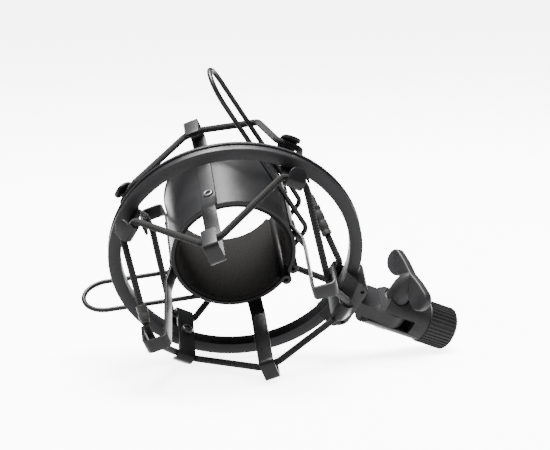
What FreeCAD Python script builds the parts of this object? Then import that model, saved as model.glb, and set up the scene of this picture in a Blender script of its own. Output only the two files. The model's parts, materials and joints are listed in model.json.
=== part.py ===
"""Spider shock mount for a studio microphone, lying on a table.

A clamping basket (a slit sheet-metal barrel with felt, four hooked strips and two wire squeeze
handles) hangs inside a ring on two elastic cords. A swivel on the ring ends in a ribbed collar
with the thread of a microphone stand.

Three frames are used. The mount frame has its origin at the ring's centre, +Z along the ring's
axis towards the front and +X towards the swivel. The basket frame is the same for the basket,
with the slit at +X. The row frame is the table's: every piece is built in one of the first two
and placed in the last by its Placement.
"""
import FreeCAD, Part
import math
import os
import Sketcher
from FreeCAD import Placement, Rotation, Vector

doc = FreeCAD.newDocument("shock_mount")

# ---------------------------------------------------------------------------------------------
# Driving sizes, in millimetres and degrees
# ---------------------------------------------------------------------------------------------
SIZES = (
    ("ring_radius", 56.5, "outer radius of the suspension ring"),
    ("ring_wall", 5.8, "ring, radial"),
    ("ring_width", 6.2, "ring, along its axis"),
    ("ring_edge", 0.5, "chamfer on the ring's edges"),
    ("groove_width", 2.4, "groove round the outside of the ring"),
    ("groove_depth", 0.7, ""),
    ("clip_width", 8.0, "cord clips on the ring"),
    ("clip_gauge", 1.4, "their sheet"),
    ("clip_reach", 17.2, "from the ring's middle plane to the bend's outside"),
    ("clip_bend", 1.9, "inside radius of the bend that holds the cord"),
    ("clip_tongue", 5.2, "straight tongue after the bend"),
    ("clip_turn", 138.0, "degrees the tongue is folded back"),
    ("screw_radius", 1.5, "clip screws, M3"),
    ("screw_head_radius", 2.7, ""),
    ("screw_head_height", 1.8, ""),
    ("barrel_radius", 27.35, "outside of the clamping barrel"),
    ("barrel_gauge", 1.2, "its sheet"),
    ("barrel_length", 48.4, ""),
    ("barrel_front", 3.9, "front rim, ahead of the ring's middle plane"),
    ("barrel_bead", 0.5, "how far the rims are rolled out"),
    ("roll_radius", 2.4, "rolled edge along each side of the slit"),
    ("roll_offset", 3.2, "rolled edge's centre from the slit's middle plane"),
    ("felt_thickness", 2.0, "lining of the barrel"),
    ("felt_setback", 0.6, "lining's ends behind the rims"),
    ("back_gap", 0.15, "half the parting at the barrel's back, where it flexes"),
    ("strip_width", 6.6, "hooked strips"),
    ("strip_gauge", 1.2, ""),
    ("strip_front", 47.5, "front hooks, ahead of the ring's middle plane"),
    ("strip_rear", 51.4, "rear hooks, behind it"),
    ("strip_hump", 3.6, "bulge of the strip over the front rim"),
    ("strip_rear_radius", 29.4, "inside of the strips at the rear hooks"),
    ("hook_plate", 11.0, "end plate of a hook, radial"),
    ("hook_lip", 12.3, "lip of a hook, back towards the ring"),
    ("hook_bend", 1.4, "inside radius of the hooks' bends"),
    ("rivet_radius", 1.4, "hollow rivets"),
    ("rivet_head_radius", 2.5, ""),
    ("rivet_flange", 0.7, "height of their heads"),
    ("rivet_front", 9.5, "front rivets behind the front rim"),
    ("rivet_rear", 9.0, "rear rivets ahead of the rear rim"),
    ("wire_radius", 1.1, "squeeze handles"),
    ("handle_spacing", 22.0, "between the two legs of a handle"),
    ("handle_middle", 22.0, "handles' middle, behind the ring's middle plane"),
    ("handle_offset", 31.0, "legs' distance from the barrel's axis"),
    ("handle_azimuth", 56.5, "degrees from the slit to the foot of that distance"),
    ("handle_reach", 71.0, "from that foot to the handle's end"),
    ("cord_radius", 1.5, "elastic cords"),
    ("yoke_depth", 18.0, "swivel yoke, along the ring's axis"),
    ("yoke_half_width", 13.2, "its saddle, each side of the arm"),
    ("yoke_wall", 5.3, "its saddle, outside the ring"),
    ("yoke_corner", 5.6, "rounding of the saddle"),
    ("tongue_thickness", 6.4, "tongue in the clevis"),
    ("hinge_reach", 22.6, "swivel pivot from the outside of the ring"),
    ("swivel_tilt", 3.3, "degrees the clevis is tilted back as it lies"),
    ("clevis_radius", 9.4, ""),
    ("tongue_play", 0.2, "between the tongue and each side of the clevis's slot"),
    ("lower_ear", 12.4, "lower ear, ahead of the pivot"),
    ("upper_ear", 6.2, "upper ear, ahead of the pivot"),
    ("slot_end", 10.4, "slot's end behind the pivot"),
    ("clevis_end", 17.4, "shoulder behind the pivot"),
    ("stud_radius", 2.5, "thumb screw, M5"),
    ("hub_seat", 6.4, "hub's seat from the arm's middle plane"),
    ("hub_radius", 5.3, "thumb screw's hub"),
    ("wing_span", 36.0, "thumb screw's wings, tip to tip"),
    ("wing_height", 10.6, ""),
    ("wing_thickness", 4.0, ""),
    ("wing_top", 23.6, "top of the wings from the arm's middle plane"),
    ("wing_turn", 19.7, "degrees the wings are turned as it lies"),
    ("nut_flats", 8.0, "hexagon nut, across flats"),
    ("nut_height", 3.4, ""),
    ("collar_radius", 10.05, "ribbed collar, over the ribs"),
    ("collar_length", 14.6, ""),
    ("rib_height", 0.5, ""),
    ("insert_radius", 8.5, "outside of the threaded insert"),
    ("thread_radius", 7.5, "crest of the 5/8 inch female thread"),
    ("insert_length", 11.0, ""),
    ("fit", 0.05, "clearance between pieces that are fastened together"),
    ("run", 0.1, "clearance between pieces that turn on each other"),
)
COLLAR_RIBS = 36

# Each strip: its name, azimuth in the basket frame, inside radius at the front hook, and half.
STRIPS = (
    ("hook_strip_upper_front", 42.0, 30.0, "upper"),
    ("hook_strip_upper_rear", 138.5, 27.6, "upper"),
    ("hook_strip_lower_rear", 227.5, 33.8, "lower"),
    ("hook_strip_lower_front", 316.5, 28.8, "lower"),
)
# Each cord clip: its name and azimuth in the mount frame.
CLIPS = (
    ("cord_clip_swivel", 0.0),
    ("cord_clip_upper", 90.0),
    ("cord_clip_rear", 180.0),
    ("cord_clip_lower", 270.0),
)
# The basket hangs a little off the ring's axis.
BASKET_SHIFT = Vector(-1.7, 0.7, 0.0)
BASKET_TILT_X = -2.3
BASKET_TILT_Y = 1.2

sheet = doc.addObject("Spreadsheet::Sheet", "Sizes")
for row, (alias, value, meaning) in enumerate(SIZES, 1):
    sheet.set("A%d" % row, alias)
    sheet.set("B%d" % row, str(value))
    sheet.set("C%d" % row, meaning)
    sheet.setAlias("B%d" % row, alias)
doc.recompute()

ALIASES = sorted((alias for alias, _value, _meaning in SIZES), key=len, reverse=True)


def size(expression):
    """Value of an expression in the sheet's aliases."""
    return float(sheet.evalExpression(expression))


def bound(expression):
    """The same expression as another object writes it."""
    words = expression.replace("(", " ( ").replace(")", " ) ").split()
    return " ".join("Sizes." + word if word in ALIASES else word for word in words)


# ---------------------------------------------------------------------------------------------
# Helpers: sketches, pads, bent strips, swept wires
# ---------------------------------------------------------------------------------------------
def origin_plane(body, role):
    return next(item for item in body.Origin.OriginFeatures if item.Role == role)


def new_body(name):
    body = doc.addObject("PartDesign::Body", name)
    body.Label = name
    return body


def new_sketch(body, name, role="XY_Plane", offset=0.0):
    """A sketch on one of the body's origin planes, moved along the plane's normal."""
    sketch = body.newObject("Sketcher::SketchObject", name)
    sketch.AttachmentSupport = (origin_plane(body, role), [""])
    sketch.MapMode = "FlatFace"
    sketch.AttachmentOffset = Placement(Vector(0, 0, offset), Rotation())
    return sketch


def pin_point(sketch, geometry, point, x, y):
    """Hold a sketch point at coordinates given as expressions."""
    for kind, axis, expression in (("DistanceX", -2, x), ("DistanceY", -1, y)):
        value = size(expression)
        if abs(value) < 1e-9:
            sketch.addConstraint(Sketcher.Constraint("PointOnObject", geometry, point, axis))
            continue
        index = sketch.addConstraint(Sketcher.Constraint(kind, -1, 1, geometry, point, value))
        sketch.setExpression("Constraints[%d]" % index, bound(expression))


def polygon(sketch, corners):
    """Closed polygon whose corners are pairs of expressions."""
    places = [Vector(size(x), size(y), 0) for x, y in corners]
    lines = [Part.LineSegment(a, b) for a, b in zip(places, places[1:] + places[:1])]
    ids = sketch.addGeometry(lines, False)
    for here, after in zip(ids, ids[1:] + ids[:1]):
        sketch.addConstraint(Sketcher.Constraint("Coincident", here, 2, after, 1))
    for number, (x, y) in zip(ids, corners):
        pin_point(sketch, number, 1, x, y)


def circle(sketch, radius, x="0", y="0"):
    """Circle whose radius and centre are expressions."""
    centre = Vector(size(x), size(y), 0)
    number = sketch.addGeometry(Part.Circle(centre, Vector(0, 0, 1), size(radius)), False)
    index = sketch.addConstraint(Sketcher.Constraint("Radius", number, size(radius)))
    sketch.setExpression("Constraints[%d]" % index, bound(radius))
    pin_point(sketch, number, 3, x, y)


def rectangle(sketch, x_low, x_high, y_low, y_high):
    polygon(sketch, ((x_low, y_low), (x_high, y_low), (x_high, y_high), (x_low, y_high)))


def pad(body, sketch, name, length, symmetric=False):
    feature = body.newObject("PartDesign::Pad", name)
    feature.Profile = sketch
    feature.SideType = "Symmetric" if symmetric else "One side"
    feature.Length = size(length)
    feature.setExpression("Length", bound(length))
    doc.recompute()
    return feature


def pocket(body, sketch, name, length=None, reverse=False):
    """Pocket of a given depth, or right through both ways."""
    before = body.Shape.Volume
    feature = body.newObject("PartDesign::Pocket", name)
    feature.Profile = sketch
    if length is None:
        feature.SideType = "Symmetric"
        feature.Type = "ThroughAll"
    else:
        feature.SideType = "One side"
        feature.Length = size(length)
        feature.setExpression("Length", bound(length))
        feature.Reversed = reverse
    doc.recompute()
    if body.Shape.Volume > before - 1e-4:
        raise ValueError("pocket %s of %s removes nothing" % (name, body.Label))
    return feature


def revolution(body, sketch, name, axis_role):
    feature = body.newObject("PartDesign::Revolution", name)
    feature.Profile = sketch
    axis = next(item for item in body.Origin.OriginFeatures if item.Role == axis_role)
    feature.ReferenceAxis = (axis, [""])
    feature.Angle = 360
    doc.recompute()
    return feature


def dress(body, kind, name, base, edges, expression):
    """Fillet or chamfer on the edges that a test picks."""
    names = ["Edge%d" % (i + 1) for i, edge in enumerate(base.Shape.Edges) if edges(edge)]
    feature = body.newObject("PartDesign::" + kind, name)
    feature.Base = (base, names)
    prop = "Radius" if kind == "Fillet" else "Size"
    setattr(feature, prop, size(expression))
    feature.setExpression(prop, bound(expression))
    doc.recompute()
    return feature


def left_of(direction):
    return Vector(-direction.y, direction.x, 0)


def strip_side(points, radii, offset):
    """One side of a bent strip: lines and arcs at a distance left of its centre line."""
    edges = []
    start = points[0] + left_of((points[1] - points[0]).normalize()) * offset
    for before, corner, after, radius in zip(points, points[1:], points[2:], radii):
        come = (corner - before).normalize()
        leave = (after - corner).normalize()
        side = 1 if come.cross(leave).z > 0 else -1
        setback = radius * math.tan(come.getAngle(leave) / 2)
        centre = corner - come * setback + left_of(come) * (side * radius)
        first = corner - come * setback + left_of(come) * offset
        last = corner + leave * setback + left_of(leave) * offset
        middle = centre + (corner - centre).normalize() * (radius - side * offset)
        edges.append(Part.LineSegment(start, first))
        edges.append(Part.Arc(first, middle, last))
        start = last
    end = points[-1] + left_of((points[-1] - points[-2]).normalize()) * offset
    edges.append(Part.LineSegment(start, end))
    return edges


def bent_strip(sketch, points, radii, gauge):
    """Outline of a strip of constant gauge that follows a centre line with round bends."""
    left = strip_side(points, radii, gauge / 2)
    right = strip_side(points, radii, -gauge / 2)
    caps = [
        Part.LineSegment(left[0].StartPoint, right[0].StartPoint),
        Part.LineSegment(left[-1].EndPoint, right[-1].EndPoint),
    ]
    sketch.addGeometry(left + right + caps, False)


def rounded_path(points, radii):
    """Straight runs joined by tangent arcs."""
    edges = []
    start = points[0]
    for before, corner, after, radius in zip(points, points[1:], points[2:], radii):
        come = (corner - before).normalize()
        leave = (after - corner).normalize()
        setback = radius * math.tan(come.getAngle(leave) / 2)
        first = corner - come * setback
        last = corner + leave * setback
        inward = (leave - come).normalize()
        depth = radius / math.cos(come.getAngle(leave) / 2) - radius
        edges.append(Part.LineSegment(start, first).toShape())
        edges.append(Part.Arc(first, corner + inward * depth, last).toShape())
        start = last
    edges.append(Part.LineSegment(start, points[-1]).toShape())
    return Part.Wire(edges)


def swept_round(name, path, radius):
    """A round wire or cord along a path, as a Part::Sweep."""
    spine = doc.addObject("Part::Feature", name + "_path")
    spine.Shape = path
    section = doc.addObject("Part::Circle", name + "_section")
    section.Radius = size(radius)
    section.setExpression("Radius", bound(radius))
    first = path.Edges[0]
    heading = first.tangentAt(first.FirstParameter)
    section.Placement = Placement(path.Edges[0].valueAt(first.FirstParameter),
                                  Rotation(Vector(0, 0, 1), heading))
    sweep = doc.addObject("Part::Sweep", name)
    sweep.Sections = [section]
    sweep.Spine = (spine, ["Edge%d" % (i + 1) for i in range(len(path.Edges))])
    sweep.Solid = True
    sweep.Frenet = False
    sweep.Label = name
    doc.recompute()
    expected = math.pi * size(radius) ** 2 * path.Length
    if abs(sweep.Shape.Volume / expected - 1) > 0.02:
        raise ValueError("%s: volume %.1f, expected %.1f" % (name, sweep.Shape.Volume, expected))
    return sweep


def rod(name, radius, start, end):
    """A Part::Cylinder from one point to another, its radius an expression."""
    cylinder = doc.addObject("Part::Cylinder", name)
    cylinder.Radius = size(radius)
    cylinder.setExpression("Radius", bound(radius))
    cylinder.Height = (end - start).Length
    cylinder.Placement = Placement(start, Rotation(Vector(0, 0, 1), end - start))
    return cylinder


def cut(name, base, tools):
    """Part::Cut of one base by one or more tools."""
    if len(tools) > 1:
        tool = doc.addObject("Part::Compound", name + "_tools")
        tool.Links = tools
    else:
        tool = tools[0]
    result = doc.addObject("Part::Cut", name + "_cut")
    result.Base = base
    result.Tool = tool
    result.Refine = True
    doc.recompute()
    return result


def group(name, members):
    compound = doc.addObject("Part::Compound", name)
    compound.Links = members
    compound.Label = name
    doc.recompute()
    return compound


def on_azimuth(azimuth, radial, tangential=0.0, axial=0.0):
    """Point at a distance from the axis, a distance round from an azimuth, and a height."""
    turn = Rotation(Vector(0, 0, 1), azimuth)
    return turn.multVec(Vector(radial, tangential, axial))


def turned(azimuth, axial=0.0):
    return Placement(Vector(0, 0, axial), Rotation(Vector(0, 0, 1), azimuth))


BASKET = Placement(
    BASKET_SHIFT,
    Rotation(Vector(1, 0, 0), BASKET_TILT_X) * Rotation(Vector(0, 1, 0), BASKET_TILT_Y),
)
MOUNT = Placement()
pieces = {}


def keep(name, item, frame):
    """Register a finished piece with the frame it was built in."""
    item.Label = name
    pieces[name] = (item, frame)


# ---------------------------------------------------------------------------------------------
# Ring, cord clips and their screws
# ---------------------------------------------------------------------------------------------
def make_ring():
    body = new_body("outer_ring")
    profile = new_sketch(body, "ring_profile", "XZ_Plane")
    outer, inner = "ring_radius", "ring_radius - ring_wall"
    half, groove = "ring_width / 2", "groove_width / 2"
    upper = (
        (outer, groove),
        (outer, half + " - ring_edge"),
        (outer + " - ring_edge", half),
        (inner + " + ring_edge", half),
        (inner, half + " - ring_edge"),
    )
    lower = tuple((x, "0 - ( %s )" % y) for x, y in reversed(upper))
    floor = ((outer + " - groove_depth", "0 - " + groove), (outer + " - groove_depth", groove))
    polygon(profile, upper + lower + floor)
    revolution(body, profile, "ring_band", "Z_Axis")
    for plane in ("YZ_Plane", "XZ_Plane"):
        holes = new_sketch(body, "screw_holes_" + plane[:2], plane)
        circle(holes, "screw_radius + fit")
        pocket(body, holes, "screw_holes_through_" + plane[:2])
    keep("outer_ring", body, MOUNT)


def clip_line():
    """Centre line of a cord clip in the plane of radius and height, from its middle to a tip."""
    seat = math.sqrt(size("ring_radius - ring_wall") ** 2 - size("clip_width / 2") ** 2)
    line = seat - size("clip_gauge / 2 + fit")
    bend = size("clip_bend + clip_gauge / 2")
    straight = size("clip_reach - clip_gauge - clip_bend")
    turn = math.radians(size("clip_turn"))
    setback = bend * math.tan(turn / 2)
    corner = Vector(line, straight + setback, 0)
    tongue = setback + size("clip_tongue")
    tip = corner + Vector(math.sin(turn), math.cos(turn), 0) * tongue
    crook = Vector(line + bend, straight, 0)
    return line, corner, tip, bend, crook


def make_clip(name, azimuth):
    line, corner, tip, bend, _crook = clip_line()
    body = new_body(name)
    profile = new_sketch(body, "bent_profile", "XZ_Plane")
    points = [Vector(tip.x, -tip.y, 0), Vector(corner.x, -corner.y, 0), corner, tip]
    bent_strip(profile, points, [bend, bend], size("clip_gauge"))
    pad(body, profile, "sheet", "clip_width", symmetric=True)
    hole = new_sketch(body, "screw_hole", "YZ_Plane")
    circle(hole, "screw_radius + fit")
    drilled = pocket(body, hole, "screw_clearance")
    gauge = size("clip_gauge")

    def at_tip(edge):
        middle = edge.CenterOfMass
        return abs(edge.Length - gauge) < 0.01 and middle.x > tip.x - gauge

    dress(body, "Fillet", "rounded_tongues", drilled, at_tip, "clip_width * 0.42")
    body.Placement = turned(azimuth)
    keep(name, body, MOUNT)


def make_clip_screws():
    line = clip_line()[0]
    face = line - size("clip_gauge / 2 + fit")
    height = size("screw_head_height")
    groove_floor = size("ring_radius - groove_depth - fit")
    screws = []
    for name, azimuth in CLIPS:
        short = name.replace("cord_clip", "screw")
        head = rod(short + "_head", "screw_head_radius", Vector(face - height, 0, 0),
                   Vector(face, 0, 0))
        shank = rod(short + "_shank", "screw_radius", Vector(face - 0.2, 0, 0),
                    Vector(groove_floor, 0, 0))
        solid = doc.addObject("Part::Fuse", short + "_solid")
        solid.Base = head
        solid.Tool = shank
        slots = []
        for turn in (0, 90):
            slot = doc.addObject("Part::Box", "%s_slot_%d" % (short, turn))
            slot.Length = height
            slot.Width = size("screw_head_radius * 1.3")
            slot.Height = size("screw_head_radius * 0.28")
            centre = Vector(face - 1.45 * height, -slot.Width.Value / 2, -slot.Height.Value / 2)
            spin = Rotation(Vector(1, 0, 0), turn)
            slot.Placement = Placement(spin.multVec(centre), spin)
            slots.append(slot)
        screw = cut(short, solid, slots)
        screw.Placement = turned(azimuth)
        screws.append(screw)
    keep("clip_screws", group("clip_screws", screws), MOUNT)


# ---------------------------------------------------------------------------------------------
# Barrel, lining, strips and rivets of the basket
# ---------------------------------------------------------------------------------------------
HALVES = {"upper": 1, "lower": -1}


def barrel_back():
    return size("barrel_front - barrel_length")


def roll_place():
    """Centre of the rolled edge of the upper half, seen along the barrel."""
    radius = size("barrel_radius - barrel_gauge + roll_radius")
    offset = size("roll_offset")
    return Vector(math.sqrt(radius ** 2 - offset ** 2), offset, 0)


def sector(body, name, inner, outer, start, end, low, length):
    """Pad of a part of a ring between two azimuths."""
    sketch = new_sketch(body, name + "_profile", "XY_Plane", low)
    first, last = math.radians(start), math.radians(end)
    middle = (first + last) / 2

    def at(radius, angle):
        return Vector(radius * math.cos(angle), radius * math.sin(angle), 0)

    outside = Part.Arc(at(outer, first), at(outer, middle), at(outer, last))
    inside = Part.Arc(at(inner, first), at(inner, middle), at(inner, last))
    ends = [Part.LineSegment(at(inner, angle), at(outer, angle)) for angle in (first, last)]
    sketch.addGeometry([outside, inside] + ends, False)
    return pad(body, sketch, name, length)


def half_angles(side, clear_of_slit):
    """Azimuths of a half of the barrel, from the slit's side to the parting at the back."""
    back = 180 - math.degrees(size("back_gap / barrel_radius"))
    low, high = (clear_of_slit, back) if side > 0 else (-back, -clear_of_slit)
    return low, high


def rivet_places(half):
    """Azimuth and height of each rivet of one half."""
    heights = (size("barrel_front - rivet_front"), barrel_back() + size("rivet_rear"))
    return [(azimuth, height) for _n, azimuth, _r, owner in STRIPS if owner == half
            for height in heights]


def rivet_seat():
    """Flat seat of the rivets' inner heads against the hollow of the sheet."""
    hollow = size("barrel_radius - barrel_gauge")
    return math.sqrt(hollow ** 2 - size("rivet_head_radius") ** 2) - size("fit")


def make_shell(half):
    side = HALVES[half]
    name = "barrel_shell_" + half
    outer = size("barrel_radius")
    inner = size("barrel_radius - barrel_gauge")
    roll = roll_place()
    slit_azimuth = math.degrees(math.atan2(roll.y, roll.x))
    start, end = half_angles(side, slit_azimuth)
    body = new_body(name + "_sheet")
    sector(body, "sheet", inner, outer, start, end, barrel_back(), "barrel_length")
    bead = size("barrel_bead")
    bead_start, bead_end = half_angles(side, slit_azimuth + 5)
    for label, height in (("front", size("barrel_front") - 2 * bead), ("rear", barrel_back())):
        sector(body, label + "_bead", inner + bead, outer + bead, bead_start, bead_end, height,
               "2 * barrel_bead")
    edge = new_sketch(body, "rolled_edge_profile", "XY_Plane", barrel_back())
    centre = Vector(roll.x, side * roll.y, 0)
    edge.addGeometry(Part.Circle(centre, Vector(0, 0, 1), size("roll_radius")), False)
    pad(body, edge, "rolled_edge", "barrel_length")
    bore = new_sketch(body, "rolled_edge_bore", "XY_Plane", barrel_back())
    inside = size("roll_radius - barrel_gauge + 0.1")
    bore.addGeometry(Part.Circle(centre, Vector(0, 0, 1), inside), False)
    pocket(body, bore, "rolled_edge_hollow", "barrel_length", reverse=True)
    tools = []
    for number, (azimuth, height) in enumerate(rivet_places(half)):
        tools.append(rod("%s_rivet_hole_%d" % (half, number), "rivet_radius + fit",
                         on_azimuth(azimuth, inner - 3, 0, height),
                         on_azimuth(azimuth, outer + 3, 0, height)))
    for number, leg in enumerate(handle_heights()):
        path = handle_points(side, leg)
        tools.append(rod("%s_wire_hole_%d" % (half, number), "wire_radius + fit", path[0],
                         path[0] + (path[1] - path[0]).normalize() * size("roll_radius * 2")))
    keep(name, cut(name, body, tools), BASKET)


def make_felt(half):
    side = HALVES[half]
    name = "felt_" + half
    outer = size("barrel_radius - barrel_gauge - fit")
    inner = size("barrel_radius - barrel_gauge - felt_thickness")
    roll = roll_place()
    start, end = half_angles(side, math.degrees(math.atan2(roll.y, roll.x)) + 1)
    body = new_body(name + "_sheet")
    low = barrel_back() + size("felt_setback")
    sector(body, "lining", inner, outer, start, end, low, "barrel_length - 2 * felt_setback")
    tools = []
    for number, (azimuth, height) in enumerate(rivet_places(half)):
        tools.append(rod("%s_rivet_pocket_%d" % (half, number), "rivet_head_radius + fit",
                         on_azimuth(azimuth, rivet_seat() - size("rivet_flange + run"), 0, height),
                         on_azimuth(azimuth, outer + 3, 0, height)))
    keep(name, cut(name, body, tools), BASKET)


def strip_points(front_radius):
    """Centre line of a hooked strip in the plane of radius and height, rear lip to front lip."""
    half = size("strip_gauge / 2")
    seat = size("barrel_radius + fit") + half
    rear = size("strip_rear_radius") + half
    front = front_radius + half
    plate = size("hook_plate - strip_gauge")
    back, ahead = -size("strip_rear") + half, size("strip_front") - half
    rim = size("barrel_front")
    return [
        Vector(rear + plate, back - half + size("hook_lip"), 0),
        Vector(rear + plate, back, 0),
        Vector(rear, back, 0),
        Vector(seat, barrel_back() + 8 * size("barrel_bead"), 0),
        Vector(seat, rim - 11 * size("barrel_bead"), 0),
        Vector(seat + size("strip_hump"), rim + 6.0, 0),
        Vector(front, ahead, 0),
        Vector(front + plate, ahead, 0),
        Vector(front + plate, ahead + half - size("hook_lip"), 0),
    ]


def make_strip(name, azimuth, front_radius):
    body = new_body(name)
    profile = new_sketch(body, "bent_profile", "XZ_Plane")
    hook = size("hook_bend + strip_gauge / 2")
    easy = 4 * hook
    radii = [hook, hook, easy, easy, easy, hook, hook]
    bent_strip(profile, strip_points(front_radius), radii, size("strip_gauge"))
    pad(body, profile, "sheet", "strip_width", symmetric=True)
    for label, (_azimuth, height) in zip(("front", "rear"), rivet_places("upper")):
        hole = new_sketch(body, label + "_rivet_hole", "YZ_Plane")
        circle(hole, "rivet_radius + fit", "0", "%.4f" % height)
        pocket(body, hole, label + "_rivet_clearance", "ring_radius * 0.6", reverse=True)
    body.Placement = turned(azimuth)
    keep(name, body, BASKET)


def make_rivets(half):
    """Hollow rivets: a rolled head outside the strip and another inside the sheet."""
    inner = rivet_seat()
    face = size("barrel_radius + strip_gauge + 2 * fit")
    neck, head = size("rivet_radius"), size("rivet_head_radius")
    tube, flange = neck - 0.55, size("rivet_flange")
    outline = [
        (inner - flange, tube), (inner - flange, head - 0.3), (inner, head), (inner, neck),
        (face, neck), (face, head), (face + 0.4, head), (face + flange, head - 0.5),
        (face + flange, tube + 0.3), (face + 0.2, tube),
    ]
    rivets = []
    profile = doc.addObject("Sketcher::SketchObject", "rivet_profile_" + half)
    places = [Vector(x, y, 0) for x, y in outline]
    profile.addGeometry(
        [Part.LineSegment(a, b) for a, b in zip(places, places[1:] + places[:1])], False)
    for number, (azimuth, height) in enumerate(rivet_places(half)):
        rivet = doc.addObject("Part::Revolution", "rivet_%s_%d" % (half, number))
        rivet.Source = profile
        rivet.Axis = Vector(1, 0, 0)
        rivet.Base = Vector(0, 0, 0)
        rivet.Angle = 360
        rivet.Solid = True
        rivet.Placement = turned(azimuth, height)
        rivets.append(rivet)
    doc.recompute()
    keep("rivets_" + half, group("rivets_" + half, rivets), BASKET)


# ---------------------------------------------------------------------------------------------
# Squeeze handles
# ---------------------------------------------------------------------------------------------
def handle_heights():
    middle, half = -size("handle_middle"), size("handle_spacing / 2")
    return middle + half, middle - half


def handle_axes(side):
    """Outward normal and direction of the legs of a handle, seen along the barrel."""
    turn = math.radians(size("handle_azimuth"))
    normal = Vector(math.cos(turn), side * math.sin(turn), 0)
    along = Vector(-math.sin(turn), side * math.cos(turn), 0)
    return normal, along


def handle_points(side, height):
    """Inside the rolled edge, the bend beside it, and the end of the straight leg."""
    normal, along = handle_axes(side)
    roll = roll_place()
    start = Vector(roll.x + 0.2, side * (roll.y + 0.3), height)
    bend = normal * size("handle_offset") - along * size("handle_offset * 0.5")
    end = normal * size("handle_offset") + along * size("handle_reach - handle_spacing / 2")
    return [start, bend + Vector(0, 0, height), end + Vector(0, 0, height)]


def make_handle(half):
    side = HALVES[half]
    name = "squeeze_handle_" + half
    near, far = (handle_points(side, height) for height in handle_heights())
    bend = size("wire_radius * 4")
    first = rounded_path(near, [bend])
    last = rounded_path(far[::-1], [bend])
    along = handle_axes(side)[1]
    tip = (near[2] + far[2]) * 0.5 + along * size("handle_spacing / 2")
    loop = Part.Arc(near[2], tip, far[2]).toShape()
    path = Part.Wire(first.Edges + [loop] + last.Edges)
    keep(name, swept_round(name, path, "wire_radius"), BASKET)


# ---------------------------------------------------------------------------------------------
# Elastic cords and their ferrules
# ---------------------------------------------------------------------------------------------
def clip_crossing(azimuth, end):
    """The two points where a cord turns at a clip, one each side of it."""
    crook = clip_line()[4]
    aside = size("clip_width / 2 + cord_radius")
    return [on_azimuth(azimuth, crook.x, tangential, end * crook.y)
            for tangential in (-aside, aside)]


def hook_crossing(azimuth, front_radius, end):
    """The two points where a cord turns at a hook, one each side of it."""
    inside = front_radius if end > 0 else size("strip_rear_radius")
    radial = inside + size("hook_plate - strip_gauge - cord_radius") - 0.4
    reach = size("strip_front") if end > 0 else size("strip_rear")
    aside = size("strip_width / 2 + cord_radius * 0.7")
    height = end * (reach - size("hook_lip * 0.66"))
    return [BASKET.multVec(on_azimuth(azimuth, radial, tangential, height))
            for tangential in (-aside, aside)]


def cord_corners(end):
    """Corners of a cord's loop, starting after the swivel's clip and going round upwards."""
    corners = []
    for (_clip, clip_azimuth), (_s, strip_azimuth, radius, _half) in zip(CLIPS, STRIPS):
        corners += clip_crossing(clip_azimuth, end)
        corners += hook_crossing(strip_azimuth, radius, end)
    if end < 0:
        normal, along = handle_axes(1)
        clear = size("wire_radius + cord_radius") + 0.8
        leg = normal * (size("handle_offset") + clear) + along * size("handle_offset")
        behind = size("handle_middle + handle_spacing / 2") + 0.65 * clear
        corners.insert(6, BASKET.multVec(leg - Vector(0, 0, behind)))
    return corners


def make_cord(name, end, joint_run, share):
    """An open loop whose two ends meet inside the ferrule, part of the way along one run."""
    corners = cord_corners(end)
    first = corners[joint_run]
    second = corners[(joint_run + 1) % len(corners)]
    joint = first + (second - first) * share
    order = corners[joint_run + 1:] + corners[:joint_run + 1]
    heading = (second - first).normalize()
    points = [joint + heading * 0.2] + order + [joint - heading * 0.2]
    bends = [size("cord_radius * 2")] * len(order)
    keep(name, swept_round(name, rounded_path(points, bends), "cord_radius"), MOUNT)
    return joint, heading


def make_ferrule(name, joint, heading, long_half, short_half):
    """A crimped sleeve over the cord's joint, with a slimmer end."""
    bore = rod(name + "_bore", "cord_radius + fit", joint - heading * (long_half + 2),
               joint + heading * (long_half + short_half + 2))
    wide = rod(name + "_sleeve", "cord_radius * 1.6", joint - heading * long_half,
               joint + heading * (long_half - 0.2))
    slim = rod(name + "_end", "cord_radius * 1.3", joint + heading * (long_half - 1),
               joint + heading * (long_half + short_half))
    both = doc.addObject("Part::Fuse", name + "_outside")
    both.Base = wide
    both.Tool = slim
    keep(name, cut(name, both, [bore]), MOUNT)


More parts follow.
